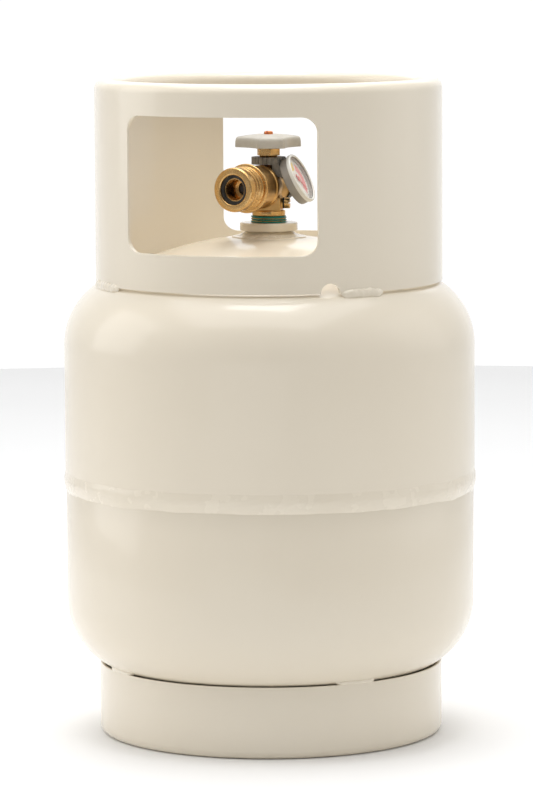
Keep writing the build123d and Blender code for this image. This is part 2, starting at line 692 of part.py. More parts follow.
def stop_piston():
    """Piston that the rising float pushes up to stop filling."""
    return rod(PISTON_R, *PISTON_Z) + rod(PISTON_STEM_R, FLOAT_PIN_Z + HUB_R + 0.5, PISTON_Z[0])


def float_arm():
    """Forked hub on the pin with the arm that carries the float."""
    arm = rod(ARM_R, FLOAT_PIN_Z - FLOAT_ARM_LEN, FLOAT_PIN_Z - 3)
    return along_pin(Cylinder(HUB_R, HUB_W)) + arm - along_pin(Cylinder(PIN_R + FIT, 2 * HUB_W))


def level_float():
    """Hollow float at the end of the arm."""
    arm_end = FLOAT_PIN_Z - FLOAT_ARM_LEN
    top = arm_end + FLOAT_SOCKET
    shell = fillet(rod(FLOAT_R, top - FLOAT_LEN, top).edges(), 3.0)
    return shell - rod(ARM_R, arm_end, top + 1)


def gauge_rod():
    """Shaft that carries the float's reading up to the gauge's magnet."""
    shaft = rod(GAUGE_ROD_R, FLOAT_PIN_Z + 8, GAUGE_ROD_TOP_Z, x=GAUGE_ROD_XY, y=GAUGE_ROD_XY)
    return BLOCK * shaft


def on_gauge(shape):
    """Lay a part built with +Z as the height above the gauge's face."""
    return GAUGE_FACE.location * shape


def gauge_housing():
    """Cup of the gauge."""
    cup = fillet(rod(GAUGE_R, -GAUGE_DEPTH, -BEZEL_T + 0.2).edges().group_by(Axis.Z)[0], 1.2)
    cup -= rod(GAUGE_R - GAUGE_WALL, -GAUGE_DEPTH + GAUGE_WALL, 1)
    return on_gauge(cup)


def gauge_bracket():
    """Serrated clamp ring round the gland, with the arm to the gauge."""
    ring = rod(BRACKET_R, *BRACKET_Z)
    for notch in range(BRACKET_NOTCHES):
        turn = Rot(0, 0, 360 / BRACKET_NOTCHES * notch)
        ring -= turn * rod(BRACKET_NOTCH_R, BRACKET_Z[0] - 1, BRACKET_Z[1] + 1, x=BRACKET_R)
    web = block(*WEB_SIZE, WEB_LOW_Z, BRACKET_Z[1], x=BRACKET_R - 0.5)
    web -= on_gauge(rod(3 * GAUGE_R, -GAUGE_DEPTH, 3 * GAUGE_R))
    web -= rod(TOWER_R + CLEAR, BLOCK_TOP_Z, BRACKET_Z[0])
    ring -= on_gauge(rod(BEZEL_R, -GAUGE_DEPTH, GAUGE_R))
    return ring + web - rod(BONNET_NECK_R + 2 * FIT, BLOCK_TOP_Z, BRACKET_Z[1] + 1)


def gauge_gasket():
    """Rubber pad on the back of the gauge's cup."""
    pad = on_gauge(rod(GASKET_R, -GAUGE_DEPTH - GASKET_T, -GAUGE_DEPTH))
    keep_low = block(6 * GASKET_R, 6 * GASKET_R, SHANK_Z, WEB_LOW_Z - CLEAR, x=GASKET_R)
    return (pad & keep_low) - rod(GASKET_GAP_R, SHANK_Z, BRACKET_Z[1])


def gauge_magnet():
    """Magnet and shaft that carry the needle."""
    floor = -GAUGE_DEPTH + GAUGE_WALL
    magnet = rod(MAGNET_R, floor + CLEAR, floor + MAGNET_T)
    return on_gauge(magnet + rod(NEEDLE_SHAFT_R, floor + MAGNET_T, NEEDLE_SHAFT_TOP))


def gauge_dial():
    """Dial plate with a hole for the needle's shaft."""
    return on_gauge(tube(DIAL_R, DIAL_HOLE_R, *DIAL_DEPTH))


def gauge_needle():
    """Tapered pointer with a round hub, pressed on the magnet's shaft."""
    tail, tip = NEEDLE_ENDS
    wide, narrow = NEEDLE_HALF_W
    outline = Polyline((tail, -wide), (tail, wide), (tip, narrow), (tip, -narrow), close=True)
    pointer = Pos(0, 0, NEEDLE_LOW) * extrude(make_face(outline), NEEDLE_T)
    needle = rod(NEEDLE_HUB_R, *NEEDLE_HUB_DEPTH) + Rot(0, 0, NEEDLE_REST) * pointer
    return on_gauge(needle - rod(NEEDLE_SHAFT_R, NEEDLE_HUB_DEPTH[0] - 1, NEEDLE_SHAFT_TOP))


def gauge_lens():
    """Clear window, seated on the cup's wall inside the bezel."""
    return on_gauge(rod(LENS_R, *LENS_DEPTH))


def gauge_bezel():
    """Ring that holds the window in the cup."""
    ring = tube(BEZEL_R, GAUGE_R, -BEZEL_T - 1.2, LENS_DEPTH[1])
    ring += tube(BEZEL_R, LENS_R - 1.2, LENS_DEPTH[1], 0)
    return on_gauge(fillet(ring.edges().group_by(Axis.Z)[-1], 0.4))


NODES = (
    upper_shell, lower_shell, girth_weld, valve_bung, bung_weld,
    collar, collar_welds, foot_ring, foot_ring_welds,
    valve_body, thread_sealant, bonnet, bonnet_gasket, upper_stem, stem_oring,
    lower_spindle, seat_disc, handwheel, handwheel_screw,
    outlet_seal, check_retainer, check_plunger, check_spring,
    relief_poppet, relief_disc, relief_spring, relief_retainer, relief_cap,
    bleeder_screw, bleeder_washer, dip_tube,
    float_housing, float_pin, stop_piston, float_arm, level_float,
    gauge_rod, gauge_housing, gauge_bracket, gauge_gasket, gauge_magnet,
    gauge_dial, gauge_needle, gauge_lens, gauge_bezel,
)

os.makedirs("parts", exist_ok=True)
for node in NODES:
    export_step(node(), f"parts/{node.__name__}.step")
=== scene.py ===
import bmesh
import bpy
import json
from math import asin, atan2, cos, degrees, pi, radians, sin, sqrt
from mathutils import Matrix, Vector, noise

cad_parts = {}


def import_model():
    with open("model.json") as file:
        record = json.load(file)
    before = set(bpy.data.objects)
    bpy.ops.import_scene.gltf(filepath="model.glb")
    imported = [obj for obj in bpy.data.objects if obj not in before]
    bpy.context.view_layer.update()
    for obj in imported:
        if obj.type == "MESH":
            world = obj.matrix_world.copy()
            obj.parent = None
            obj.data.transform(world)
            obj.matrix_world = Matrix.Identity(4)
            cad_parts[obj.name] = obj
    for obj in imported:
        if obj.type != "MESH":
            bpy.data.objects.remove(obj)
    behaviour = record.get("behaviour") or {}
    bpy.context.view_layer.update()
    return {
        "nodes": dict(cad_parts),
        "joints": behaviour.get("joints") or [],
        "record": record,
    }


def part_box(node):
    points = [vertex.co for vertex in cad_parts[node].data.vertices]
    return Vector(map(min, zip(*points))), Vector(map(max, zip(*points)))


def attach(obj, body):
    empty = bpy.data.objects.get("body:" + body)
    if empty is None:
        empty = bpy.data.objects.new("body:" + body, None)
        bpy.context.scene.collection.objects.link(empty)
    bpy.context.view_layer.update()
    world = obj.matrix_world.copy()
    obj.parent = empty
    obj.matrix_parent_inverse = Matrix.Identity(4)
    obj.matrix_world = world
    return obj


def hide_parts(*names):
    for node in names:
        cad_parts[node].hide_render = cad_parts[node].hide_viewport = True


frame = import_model()
record = frame["record"]
joints = {joint["name"]: joint for joint in frame["joints"]}
mounts = {mount["name"]: mount for mount in record["mounts"]}
openings = {opening["name"]: opening for opening in record["physics"]["openings"]}

# Camera, as seen from the front right
CAMERA_AZIMUTH = 20.3
CAMERA_DISTANCE = 3.304
CAMERA_HEIGHT = 0.6316
CAMERA_PITCH = 6.559
CAMERA_ROLL = -0.29
CAMERA_LENS = 197.4
CAMERA_SHIFT_X = -0.0041

TURN = 256          # steps round a turned piece
NEAR_AXIS = 0.0001  # where a filled outline stops short of the axis


# ---------------------------------------------------------------- mesh helpers

def add_mesh(name, verts, faces, sharp=35.0):
    """A mesh object with smooth faces, split at edges sharper than the angle."""
    mesh = bpy.data.meshes.new(name)
    mesh.from_pydata([tuple(v) for v in verts], [], faces)
    mesh.validate()
    cleaner = bmesh.new()
    cleaner.from_mesh(mesh)
    bmesh.ops.remove_doubles(cleaner, verts=cleaner.verts, dist=1e-7)
    bmesh.ops.recalc_face_normals(cleaner, faces=cleaner.faces)
    cleaner.to_mesh(mesh)
    cleaner.free()
    for polygon in mesh.polygons:
        polygon.use_smooth = True
    mesh.set_sharp_from_angle(angle=radians(sharp))
    piece = bpy.data.objects.new(name, mesh)
    bpy.context.scene.collection.objects.link(piece)
    return piece


def finished(piece, body, nodes, material, extra=()):
    """Give a piece its body, the CAD nodes it stands for and finish."""
    piece.data.materials.clear()
    for finish in (material, *extra):
        piece.data.materials.append(finish)
    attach(piece, body)
    if nodes:
        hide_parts(*nodes)
    return piece


def softened(corners, steps=4):
    """Round the corners of an outline. A corner is (radius, z) or (radius, z, fillet)."""
    outline = []
    count = len(corners)
    for index, corner in enumerate(corners):
        here = Vector(corner[:2])
        fillet = corner[2] if len(corner) > 2 else 0
        before = Vector(corners[index - 1][:2]) - here
        after = Vector(corners[(index + 1) % count][:2]) - here
        if not fillet:
            outline.append(here)
            continue
        reach = min(fillet, before.length * 0.49, after.length * 0.49)
        start, end = here + before.normalized() * reach, here + after.normalized() * reach
        for step in range(steps + 1):
            t = step / steps
            outline.append(start * (1 - t) ** 2 + here * 2 * t * (1 - t) + end * t ** 2)
    return outline


def arc(centre, radius, start, end, steps):
    """Points on a circle from one angle to another, in degrees."""
    turns = [radians(start + (end - start) * step / steps) for step in range(steps + 1)]
    return [Vector((centre[0] + radius * cos(a), centre[1] + radius * sin(a))) for a in turns]


def quad_rows(rows, count, closed=True, first=0):
    """Faces between neighbouring rows, each of count vertices."""
    faces = []
    for row in range(rows - 1):
        below, above = first + row * count, first + (row + 1) * count
        for k in range(count if closed else count - 1):
            following = (k + 1) % count
            faces.append((below + k, below + following, above + following, above + k))
    return faces


def lathe(name, outline, place=Matrix.Identity(4), turn=TURN, shape=None, sharp=35.0):
    """Turn a closed outline of (radius, z) about +Z. shape(radius, z, angle) may move its points."""
    count = len(outline)
    verts = []
    for step in range(turn):
        angle = 2 * pi * step / turn
        for radius, z in outline:
            if shape:
                radius, z = shape(radius, z, angle)
            verts.append(place @ Vector((radius * cos(angle), radius * sin(angle), z)))
    faces = []
    for step in range(turn):
        following = (step + 1) % turn
        for index in range(count):
            beside = (index + 1) % count
            faces.append((
                step * count + index, following * count + index,
                following * count + beside, step * count + beside,
            ))
    return add_mesh(name, verts, faces, sharp)


def apply_modifiers(piece):
    """Replace a piece's mesh by what its modifiers make of it."""
    graph = bpy.context.evaluated_depsgraph_get()
    made = bpy.data.meshes.new_from_object(piece.evaluated_get(graph))
    piece.modifiers.clear()
    piece.data = made
    return piece


def add_modifier(piece, kind, **settings):
    modifier = piece.modifiers.new(kind.lower(), kind)
    for key, value in settings.items():
        setattr(modifier, key, value)
    return modifier


def join_pieces(name, pieces):
    """One object from several."""
    merged = bmesh.new()
    for piece in pieces:
        merged.from_mesh(piece.data)
        bpy.data.objects.remove(piece)
    mesh = bpy.data.meshes.new(name)
    merged.to_mesh(mesh)
    merged.free()
    for polygon in mesh.polygons:
        polygon.use_smooth = True
    mesh.set_sharp_from_angle(angle=radians(35))
    joined = bpy.data.objects.new(name, mesh)
    bpy.context.scene.collection.objects.link(joined)
    return joined


def wobble(x, y, z, scale):
    """Smooth noise between -1 and 1 at a point."""
    return noise.noise(Vector((x, y, z)) * scale)


def frame_along(origin, axis, up=Vector((0, 0, 1))):
    """A placement whose +Z runs along axis and whose +Y is as near up as it can be."""
    forward = Vector(axis).normalized()
    side = up.cross(forward).normalized()
    top = forward.cross(side)
    turned = Matrix((side, top, forward)).transposed().to_4x4()
    return Matrix.Translation(origin) @ turned


# ------------------------------------------------------------------- materials

def shader(name):
    """A new material with its nodes, its links and its surface shader."""
    material = bpy.data.materials.new(name)
    material.use_nodes = True
    nodes, links = material.node_tree.nodes, material.node_tree.links
    return material, nodes, links, nodes["Principled BSDF"]


def noise_field(nodes, links, scale, detail=3.0, rough=0.5):
    """Noise over the object's own coordinates, in metres."""
    place = nodes.new("ShaderNodeTexCoord")
    field = nodes.new("ShaderNodeTexNoise")
    field.inputs["Scale"].default_value = scale
    field.inputs["Detail"].default_value = detail
    field.inputs["Roughness"].default_value = rough
    links.new(place.outputs["Object"], field.inputs["Vector"])
    return field.outputs["Fac"]


def ramp(nodes, links, source, low, high, start=0.15, end=0.85):
    """Colours from low to high as the source goes from start to end."""
    blend = nodes.new("ShaderNodeValToRGB")
    blend.color_ramp.interpolation = "EASE"
    blend.color_ramp.elements[0].position = start
    blend.color_ramp.elements[1].position = end
    blend.color_ramp.elements[0].color = (*low, 1)
    blend.color_ramp.elements[1].color = (*high, 1)
    links.new(source, blend.inputs["Fac"])
    return blend.outputs["Color"]


def ranged(nodes, links, source, low, high):
    """The source spread between two values."""
    spread = nodes.new("ShaderNodeMapRange")
    spread.inputs["From Min"].default_value = 0.1
    spread.inputs["From Max"].default_value = 0.9
    spread.inputs["To Min"].default_value = low
    spread.inputs["To Max"].default_value = high
    links.new(source, spread.inputs["Value"])
    return spread.outputs["Result"]


def relief(nodes, links, surface, source, depth):
    """Raise the surface by the source, up to depth metres."""
    bump = nodes.new("ShaderNodeBump")
    bump.inputs["Strength"].default_value = 1.0
    bump.inputs["Distance"].default_value = depth
    links.new(source, bump.inputs["Height"])
    links.new(bump.outputs["Normal"], surface.inputs["Normal"])


def srgb(red, green, blue):
    """Linear colour from 8-bit display values."""
    def linear(value):
        value /= 255
        return value / 12.92 if value <= 0.04045 else ((value + 0.055) / 1.055) ** 2.4
    return tuple(linear(value) for value in (red, green, blue))


def surface_material(name, low, high, tone_scale, rough, rough_scale, bump_scale, bump_depth,
                     metallic=0.0, coat=0.0, coat_rough=0.1):
    """A finish whose tone, roughness and relief each come from their own noise."""
    material, nodes, links, surface = shader(name)
    surface.inputs["Metallic"].default_value = metallic
    surface.inputs["Coat Weight"].default_value = coat
    surface.inputs["Coat Roughness"].default_value = coat_rough
    tone = ramp(nodes, links, noise_field(nodes, links, tone_scale, 4.0, 0.55), low, high)
    links.new(tone, surface.inputs["Base Color"])
    spread = ranged(nodes, links, noise_field(nodes, links, rough_scale), *rough)
    links.new(spread, surface.inputs["Roughness"])
    relief(nodes, links, surface, noise_field(nodes, links, bump_scale, 2.0), bump_depth)
    return material


PAINT = surface_material("cream_enamel", srgb(232, 221, 201), srgb(234, 224, 205), 5.0,
                         (0.25, 0.28), 6.0, 90.0, 0.00002, coat=0.5, coat_rough=0.1)
BEAD_PAINT = surface_material("cream_enamel_on_weld", srgb(231, 220, 200), srgb(235, 225, 206), 30.0,
                              (0.24, 0.3), 60.0, 320.0, 0.00005, coat=0.5, coat_rough=0.1)
BRASS = surface_material("turned_brass", srgb(206, 164, 104), srgb(226, 188, 130), 110.0,
                         (0.16, 0.34), 240.0, 1500.0, 0.00001, metallic=1.0)
FORGED_BRASS = surface_material("forged_brass", srgb(190, 148, 88), srgb(224, 184, 122), 90.0,
                                (0.26, 0.42), 200.0, 700.0, 0.00004, metallic=1.0)
WHEEL_GREY = surface_material("grey_enamel", srgb(176, 170, 158), srgb(188, 183, 172), 130.0,
                              (0.34, 0.5), 300.0, 1600.0, 0.00003)
COPPER = surface_material("copper_screw", srgb(214, 128, 78), srgb(232, 152, 100), 400.0,
                          (0.25, 0.4), 600.0, 2500.0, 0.00003, metallic=1.0)
GAUGE_GREY = surface_material("moulded_grey", srgb(148, 144, 137), srgb(158, 154, 147), 150.0,
                              (0.38, 0.5), 300.0, 2200.0, 0.00003)
BRACKET_GREY = surface_material("cast_grey", srgb(104, 102, 98), srgb(146, 143, 137), 260.0,
                                (0.4, 0.6), 500.0, 1400.0, 0.00008)
RUBBER = surface_material("black_rubber", (0.012, 0.012, 0.012), (0.03, 0.03, 0.03), 300.0,
                          (0.45, 0.62), 700.0, 2600.0, 0.00003)
BLACK_PLASTIC = surface_material("black_moulding", (0.012, 0.012, 0.013), (0.024, 0.024, 0.026), 200.0,
                                 (0.3, 0.42), 500.0, 2400.0, 0.00002)
SEALANT = surface_material("teal_sealant", srgb(0, 112, 112), srgb(18, 150, 144), 420.0,
                           (0.3, 0.5), 500.0, 1800.0, 0.00012)
STEEL = surface_material("drawn_steel", srgb(170, 170, 168), srgb(196, 196, 194), 500.0,
                         (0.25, 0.4), 700.0, 3000.0, 0.00002, metallic=1.0)
BEZEL = surface_material("pale_bezel", srgb(222, 222, 216), srgb(232, 232, 227), 220.0,
                         (0.18, 0.3), 400.0, 2500.0, 0.00001, coat=0.2)


def printed(name, low, high):
    """Matt print on the gauge's card."""
    return surface_material(name, low, high, 500.0, (0.45, 0.6), 700.0, 3500.0, 0.00001)


CARD = printed("printed_card", srgb(240, 240, 236), srgb(247, 247, 244))
CARD_RED = printed("printed_red", srgb(240, 128, 134), srgb(246, 150, 152))
CARD_YELLOW = printed("printed_yellow", srgb(238, 196, 44), srgb(246, 208, 66))
CARD_GREEN = printed("printed_green", srgb(84, 168, 78), srgb(104, 184, 92))
CARD_INK = printed("printed_ink", (0.02, 0.02, 0.02), (0.04, 0.04, 0.04))
NEEDLE_RED = surface_material("red_pointer", srgb(206, 34, 34), srgb(222, 48, 44), 300.0,
                              (0.3, 0.42), 600.0, 2500.0, 0.00001)


def lens_material():
    """Clear moulded window with faint marks in its polish."""
    material, nodes, links, surface = shader("clear_window")
    surface.inputs["Base Color"].default_value = (0.97, 0.98, 0.98, 1)
    surface.inputs["Alpha"].default_value = 0.14
    field = noise_field(nodes, links, 260.0)
    links.new(ranged(nodes, links, field, 0.01, 0.05), surface.inputs["Roughness"])
    return material


LENS = lens_material()

SLOT_FINISH = {
    "tank_paint": PAINT, "weld_paint": BEAD_PAINT, "valve_brass": BRASS, "trim_brass": BRASS,
    "sealant": SEALANT, "black_rubber": RUBBER, "black_plastic": BLACK_PLASTIC, "wheel_grey": WHEEL_GREY,
    "copper_screw": COPPER, "spring_steel": STEEL, "gauge_grey": BRACKET_GREY, "bezel": BEZEL,
    "dial_white": CARD, "needle_red": NEEDLE_RED, "lens_clear": LENS,
}


def finish_cad_nodes():
    """Every CAD node carried over gets its slot's finish."""
    slots = {part["node"]: part["material_slot"] for part in record["subparts"]}
    for name, node in frame["nodes"].items():
        node.data.materials.clear()
        node.data.materials.append(SLOT_FINISH[slots[name]])


# ---------------------------------------------------------------------- vessel

KNUCKLE = 0.055   # radii of a drawn head: its corner and its crown
CROWN = 0.252
SHELL_T = 0.0022
BUNG_NECK_R = 0.0175
BUNG_BORE_R = 0.0134
BUNG_FLANGE_T = 0.006
JOGGLE = 0.003    # height over which the lower shell steps in under the upper one


def head_outline(radius, tangent_z, inset):
    """From the tangent line over the knuckle and the crown, ending near the axis."""
    knuckle_x = radius - KNUCKLE
    crown_z = tangent_z - sqrt((CROWN - KNUCKLE) ** 2 - knuckle_x ** 2)
    blend = 90 - degrees(asin(knuckle_x / (CROWN - KNUCKLE)))
    knuckle = arc((knuckle_x, tangent_z), KNUCKLE - inset, 0, blend, 24)
    crown = arc((0, crown_z), CROWN - inset, blend, 90, 40)
    return knuckle + crown[1:]


def upper_tank():
    """Upper shell: straight wall, knuckle and crown, with the boss's hole in the middle."""
    low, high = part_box("upper_shell")
    radius = high.x
    hole_r = BUNG_NECK_R
    tangent_z = high.z - head_outline(radius, 0, 0)[-1].y
    outside = [p for p in head_outline(radius, tangent_z, 0) if p.x > hole_r]
    inside = [p for p in head_outline(radius, tangent_z, SHELL_T) if p.x > hole_r]
    crown_out, crown_in = outside[-1].y, inside[-1].y
    outline = [Vector((radius, low.z)), *outside, Vector((hole_r, crown_out + 0.0001))]
    outline += [Vector((hole_r, crown_in)), *reversed(inside), Vector((radius - SHELL_T, low.z))]
    piece = lathe("tank_upper", outline)
    return finished(piece, "tank", ["upper_shell"], PAINT)


def lower_tank():
    """Lower shell: bottom head and wall, stepped in at the top to lie inside the upper one."""
    low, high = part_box("lower_shell")
    radius = high.x
    girth_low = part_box("girth_weld")[0].z + 0.002
    lap_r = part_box("upper_shell")[1].x - SHELL_T - 0.00005
    head = head_outline(radius, 0, 0)
    tangent_z = low.z + head[-1].y
    outside = [Vector((p.x, tangent_z - p.y)) for p in head]
    inside = [Vector((p.x, tangent_z - p.y)) for p in head_outline(radius, 0, SHELL_T)]
    outline = [*reversed(outside), Vector((radius, girth_low)), Vector((lap_r, girth_low + JOGGLE))]
    outline += [Vector((lap_r, high.z)), Vector((lap_r - SHELL_T, high.z))]
    outline += [Vector((lap_r - SHELL_T, girth_low + JOGGLE)), Vector((radius - SHELL_T, girth_low))]
    outline += inside
    piece = lathe("tank_lower", outline)
    return finished(piece, "tank", ["lower_shell"], PAINT)


def girth_bead():
    """The joint's bead: its edges wander and fine ripples cross it."""
    low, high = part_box("girth_weld")
    middle, half = (low.z + high.z) / 2, (high.z - low.z) / 2
    crest = high.x
    upper_r, lower_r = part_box("upper_shell")[1].x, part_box("lower_shell")[1].x
    steps = 16
    outline = [Vector((0, -1 + 2 * step / steps)) for step in range(steps + 1)]
    outline += [Vector((1, 1.0)), Vector((1, -1.0))]

    def shape(depth, across, angle):
        ring = (cos(angle) * 0.155, sin(angle) * 0.155)
        wander = 0.0012 * wobble(*ring, 0.3, 45) + 0.0003 * wobble(*ring, 0.7, 120)
        width = half + 0.0002 + 0.0006 * wobble(*ring, 1.7, 50)
        z = middle + wander * 0.8 + across * width
        base = upper_r + (lower_r - upper_r) * (0.5 - across / 2)
        if depth:
            return base - 0.0015, z
        bulge = max(0.0, 1 - across * across) ** 1.25
        ripple = 0.00022 * wobble(*ring, across * 0.02, 210)
        return base + (crest - upper_r - 0.0004) * bulge + ripple * bulge + 0.00005, z

    piece = lathe("girth_bead", outline, turn=720, shape=shape, sharp=70)
    return finished(piece, "tank", ["girth_weld"], BEAD_PAINT)


def bung():
    """Boss that the valve screws into: a neck with a flange on top."""
    low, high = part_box("valve_bung")
    top, flange_r, neck_r, bore_r = high.z, high.x, BUNG_NECK_R, BUNG_BORE_R
    outline = softened([
        (bore_r, low.z), (neck_r, low.z),
        (neck_r, top - BUNG_FLANGE_T), (flange_r, top - BUNG_FLANGE_T, 0.0006),
        (flange_r, top, 0.0014), (bore_r + 0.0006, top, 0.0005), (bore_r, top - 0.001),
    ])
    piece = lathe("bung_boss", outline, turn=160)
    return finished(piece, "tank", ["valve_bung"], PAINT)


CROWN_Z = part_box("upper_shell")[1].z - sqrt(CROWN ** 2 - BUNG_NECK_R ** 2)


def crown_height(radius):
    """Height of the upper head's outside at a distance from the axis."""
    return CROWN_Z + sqrt(CROWN ** 2 - radius ** 2)


def bung_fillet():
    """Smooth, slightly lumpy fillet between the boss and the crown."""
    low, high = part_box("bung_weld")
    reach, neck_r = high.x + 0.0040, 0.0172
    steps = 14
    outline = [Vector((step / steps, 0)) for step in range(steps + 1)]
    outline += [Vector((1, 1)), Vector((0, 1))]

    def shape(out, under, angle):
        ring = (cos(angle) * 0.02, sin(angle) * 0.02)
        edge = reach + 0.0012 * wobble(*ring, 0.2, 130)
        radius = neck_r + (edge - neck_r) * out
        ground = crown_height(radius)
        if under:
            return radius, ground - 0.0012
        rise = (high.z - crown_height(neck_r)) * (1 - out) ** 2.6
        lump = 0.0007 * wobble(*ring, out * 0.01, 150) * (1 - out) * out * 4
        return radius, ground + rise + lump - 0.00005

    piece = lathe("bung_fillet", outline, turn=200, shape=shape, sharp=80)
    return finished(piece, "tank", ["bung_weld"], BEAD_PAINT)


# ---------------------------------------------------------------------- collar

WINDOW_HALF_W = 0.07365
WINDOW_AZ = 2.05
WINDOW_MARGIN_Z = 0.004
WINDOW_CORNER = 0.011
COLLAR_T = 0.0028
ROLL_R = 0.008
LIP_LEN = 0.004
DRAIN_AZ = 40.3
DRAIN_R = 0.0075
PATCH_AZ = 44.4      # half width, in degrees, of the patch of mesh round a window
PATCH_BELOW = 0.012
PATCH_ABOVE = 0.009
ABOVE_BAND = 10      # added to a row that is a height, and not a share of the lower band


def collar():
    """Rolled guard as one skin of quads, given its thickness and worn edges."""
    low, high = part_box("collar")
    radius = high.x
    roll_z = high.z - ROLL_R
    window_low, window_high = openings["front_window"]["box_m"]
    half_w = WINDOW_HALF_W
    low_w, high_w = window_low[2] - WINDOW_MARGIN_Z, window_high[2] + WINDOW_MARGIN_Z
    patch_az, patch_low, patch_high = PATCH_AZ, low_w - PATCH_BELOW, high_w + PATCH_ABOVE
    drain_az = DRAIN_AZ - WINDOW_AZ

    def skin(azimuth, height):
        turn = radians(azimuth + WINDOW_AZ - 90)
        r, z = radius, height
        if height > roll_z:
            along = (height - roll_z) / ROLL_R
            if along <= pi:
                r = radius - ROLL_R + ROLL_R * cos(along)
                z = roll_z + ROLL_R * sin(along)
            else:
                r = radius - 2 * ROLL_R
                z = roll_z - (along - pi) * ROLL_R
        return Vector((r * cos(turn), r * sin(turn), z))

    drain_half = degrees(DRAIN_R / radius)
    drain_cols = [drain_az - drain_half * cos(pi * k / 12) for k in range(13)]
    corner_steps = len(drain_cols) + 1
    flat_x, side_steps, flat_steps = half_w - WINDOW_CORNER, 22, 44
    flat_cols = [degrees(asin(flat_x * (-1 + 2 * k / flat_steps) / radius))
                 for k in range(flat_steps + 1)]
    side_rows = [low_w + WINDOW_CORNER + (high_w - low_w - 2 * WINDOW_CORNER) * k / side_steps
                 for k in range(side_steps + 1)]
    corner_cols = drain_cols + [patch_az]
    low_rows = [patch_low + (side_rows[0] - patch_low) * k / corner_steps
                for k in range(corner_steps)]
    high_rows = [side_rows[-1] + (patch_high - side_rows[-1]) * (k + 1) / corner_steps
                 for k in range(corner_steps)]

    def hole_corner(sign_x, centre_z, start):
        points = []
        for k in range(1, 2 * corner_steps):
            turn = radians(start + 90 * k / (2 * corner_steps))
            x = sign_x * flat_x + WINDOW_CORNER * cos(turn)
            points.append((degrees(asin(x / radius)), centre_z + WINDOW_CORNER * sin(turn)))
        return points

    # the window's edge and the patch's edge, point for point, anticlockwise
    hole = [(az, low_w) for az in flat_cols]
    rim = [(az, patch_low) for az in flat_cols]
    hole += hole_corner(1, side_rows[0], -90)
    rim += [(az, patch_low) for az in corner_cols] + [(patch_az, row) for row in low_rows[1:]]
    hole += [(degrees(asin(half_w / radius)), row) for row in side_rows]
    rim += [(patch_az, row) for row in side_rows]
    hole += hole_corner(1, side_rows[-1], 0)
    rim += [(patch_az, row) for row in high_rows]
    rim += [(az, patch_high) for az in reversed(corner_cols[:-1])]
    hole += [(az, high_w) for az in reversed(flat_cols)]
    rim += [(az, patch_high) for az in reversed(flat_cols)]
    hole += hole_corner(-1, side_rows[-1], 90)
    rim += [(-az, patch_high) for az in corner_cols]
    rim += [(-patch_az, row) for row in reversed(high_rows[:-1])]
    hole += [(-degrees(asin(half_w / radius)), row) for row in reversed(side_rows)]
    rim += [(-patch_az, row) for row in reversed(side_rows)]
    hole += hole_corner(-1, side_rows[0], 180)
    rim += [(-patch_az, row) for row in reversed(low_rows)]
    rim += [(-az, patch_low) for az in reversed(corner_cols[:-1])]

    verts, faces = [], []
    rings = 8
    count = len(hole)
    for centre in (0, 180):
        first = len(verts)
        for ring in range(rings + 1):
            t = (ring / rings) ** 1.4
            for (a0, h0), (a1, h1) in zip(hole, rim):
                verts.append(skin(centre + a0 + (a1 - a0) * t, h0 + (h1 - h0) * t))
        faces += quad_rows(rings + 1, count, first=first)

    strip = [patch_az + (180 - 2 * patch_az) * k / 60 for k in range(61)]
    half_cols = [s * az for az in corner_cols for s in (-1, 1)] + flat_cols + strip[1:-1]
    columns = sorted({round(round(az, 9) + turn, 9) for az in half_cols for turn in (0, 180)})

    def bottom(azimuth):
        for centre in (drain_az, drain_az + 180):
            reach = radians(azimuth - centre) * radius
            if abs(reach) < DRAIN_R:
                return low.z + sqrt(DRAIN_R ** 2 - reach ** 2)
        return low.z

    def band(azimuths, rows, closed):
        first = len(verts)
        for azimuth in azimuths:
            for row in rows:
                height = row - ABOVE_BAND
                if row <= 1:
                    height = bottom(azimuth) + (patch_low - bottom(azimuth)) * row
                verts.append(skin(azimuth, height))
        total = len(azimuths)
        for k in range(total if closed else total - 1):
            following = (k + 1) % total
            for j in range(len(rows) - 1):
                faces.append((first + k * len(rows) + j, first + following * len(rows) + j,
                              first + following * len(rows) + j + 1, first + k * len(rows) + j + 1))

    lip_end = roll_z + pi * ROLL_R + LIP_LEN
    roll_rows = [roll_z + pi * ROLL_R * k / 20 for k in range(21)]
    band(columns, [k / 6 for k in range(7)], True)
    band(columns, [row + ABOVE_BAND for row in (patch_high, *roll_rows, lip_end)], True)
    middle_rows = [row + ABOVE_BAND for row in (patch_low, *low_rows[1:], *side_rows, *high_rows)]
    for centre in (0, 180):
        band([centre + az for az in strip], middle_rows, False)

    piece = add_mesh("collar_guard", verts, faces, 60)
    outward = piece.data.polygons[0]
    if outward.normal.dot(outward.center) < 0:
        piece.data.flip_normals()
    add_modifier(piece, "SOLIDIFY", thickness=COLLAR_T, offset=-1, use_even_offset=True)
    add_modifier(piece, "BEVEL", width=0.0008, segments=3, limit_method="ANGLE",
                 angle_limit=radians(50))
    apply_modifiers(piece)
    return finished(piece, "tank", ["collar"], PAINT)


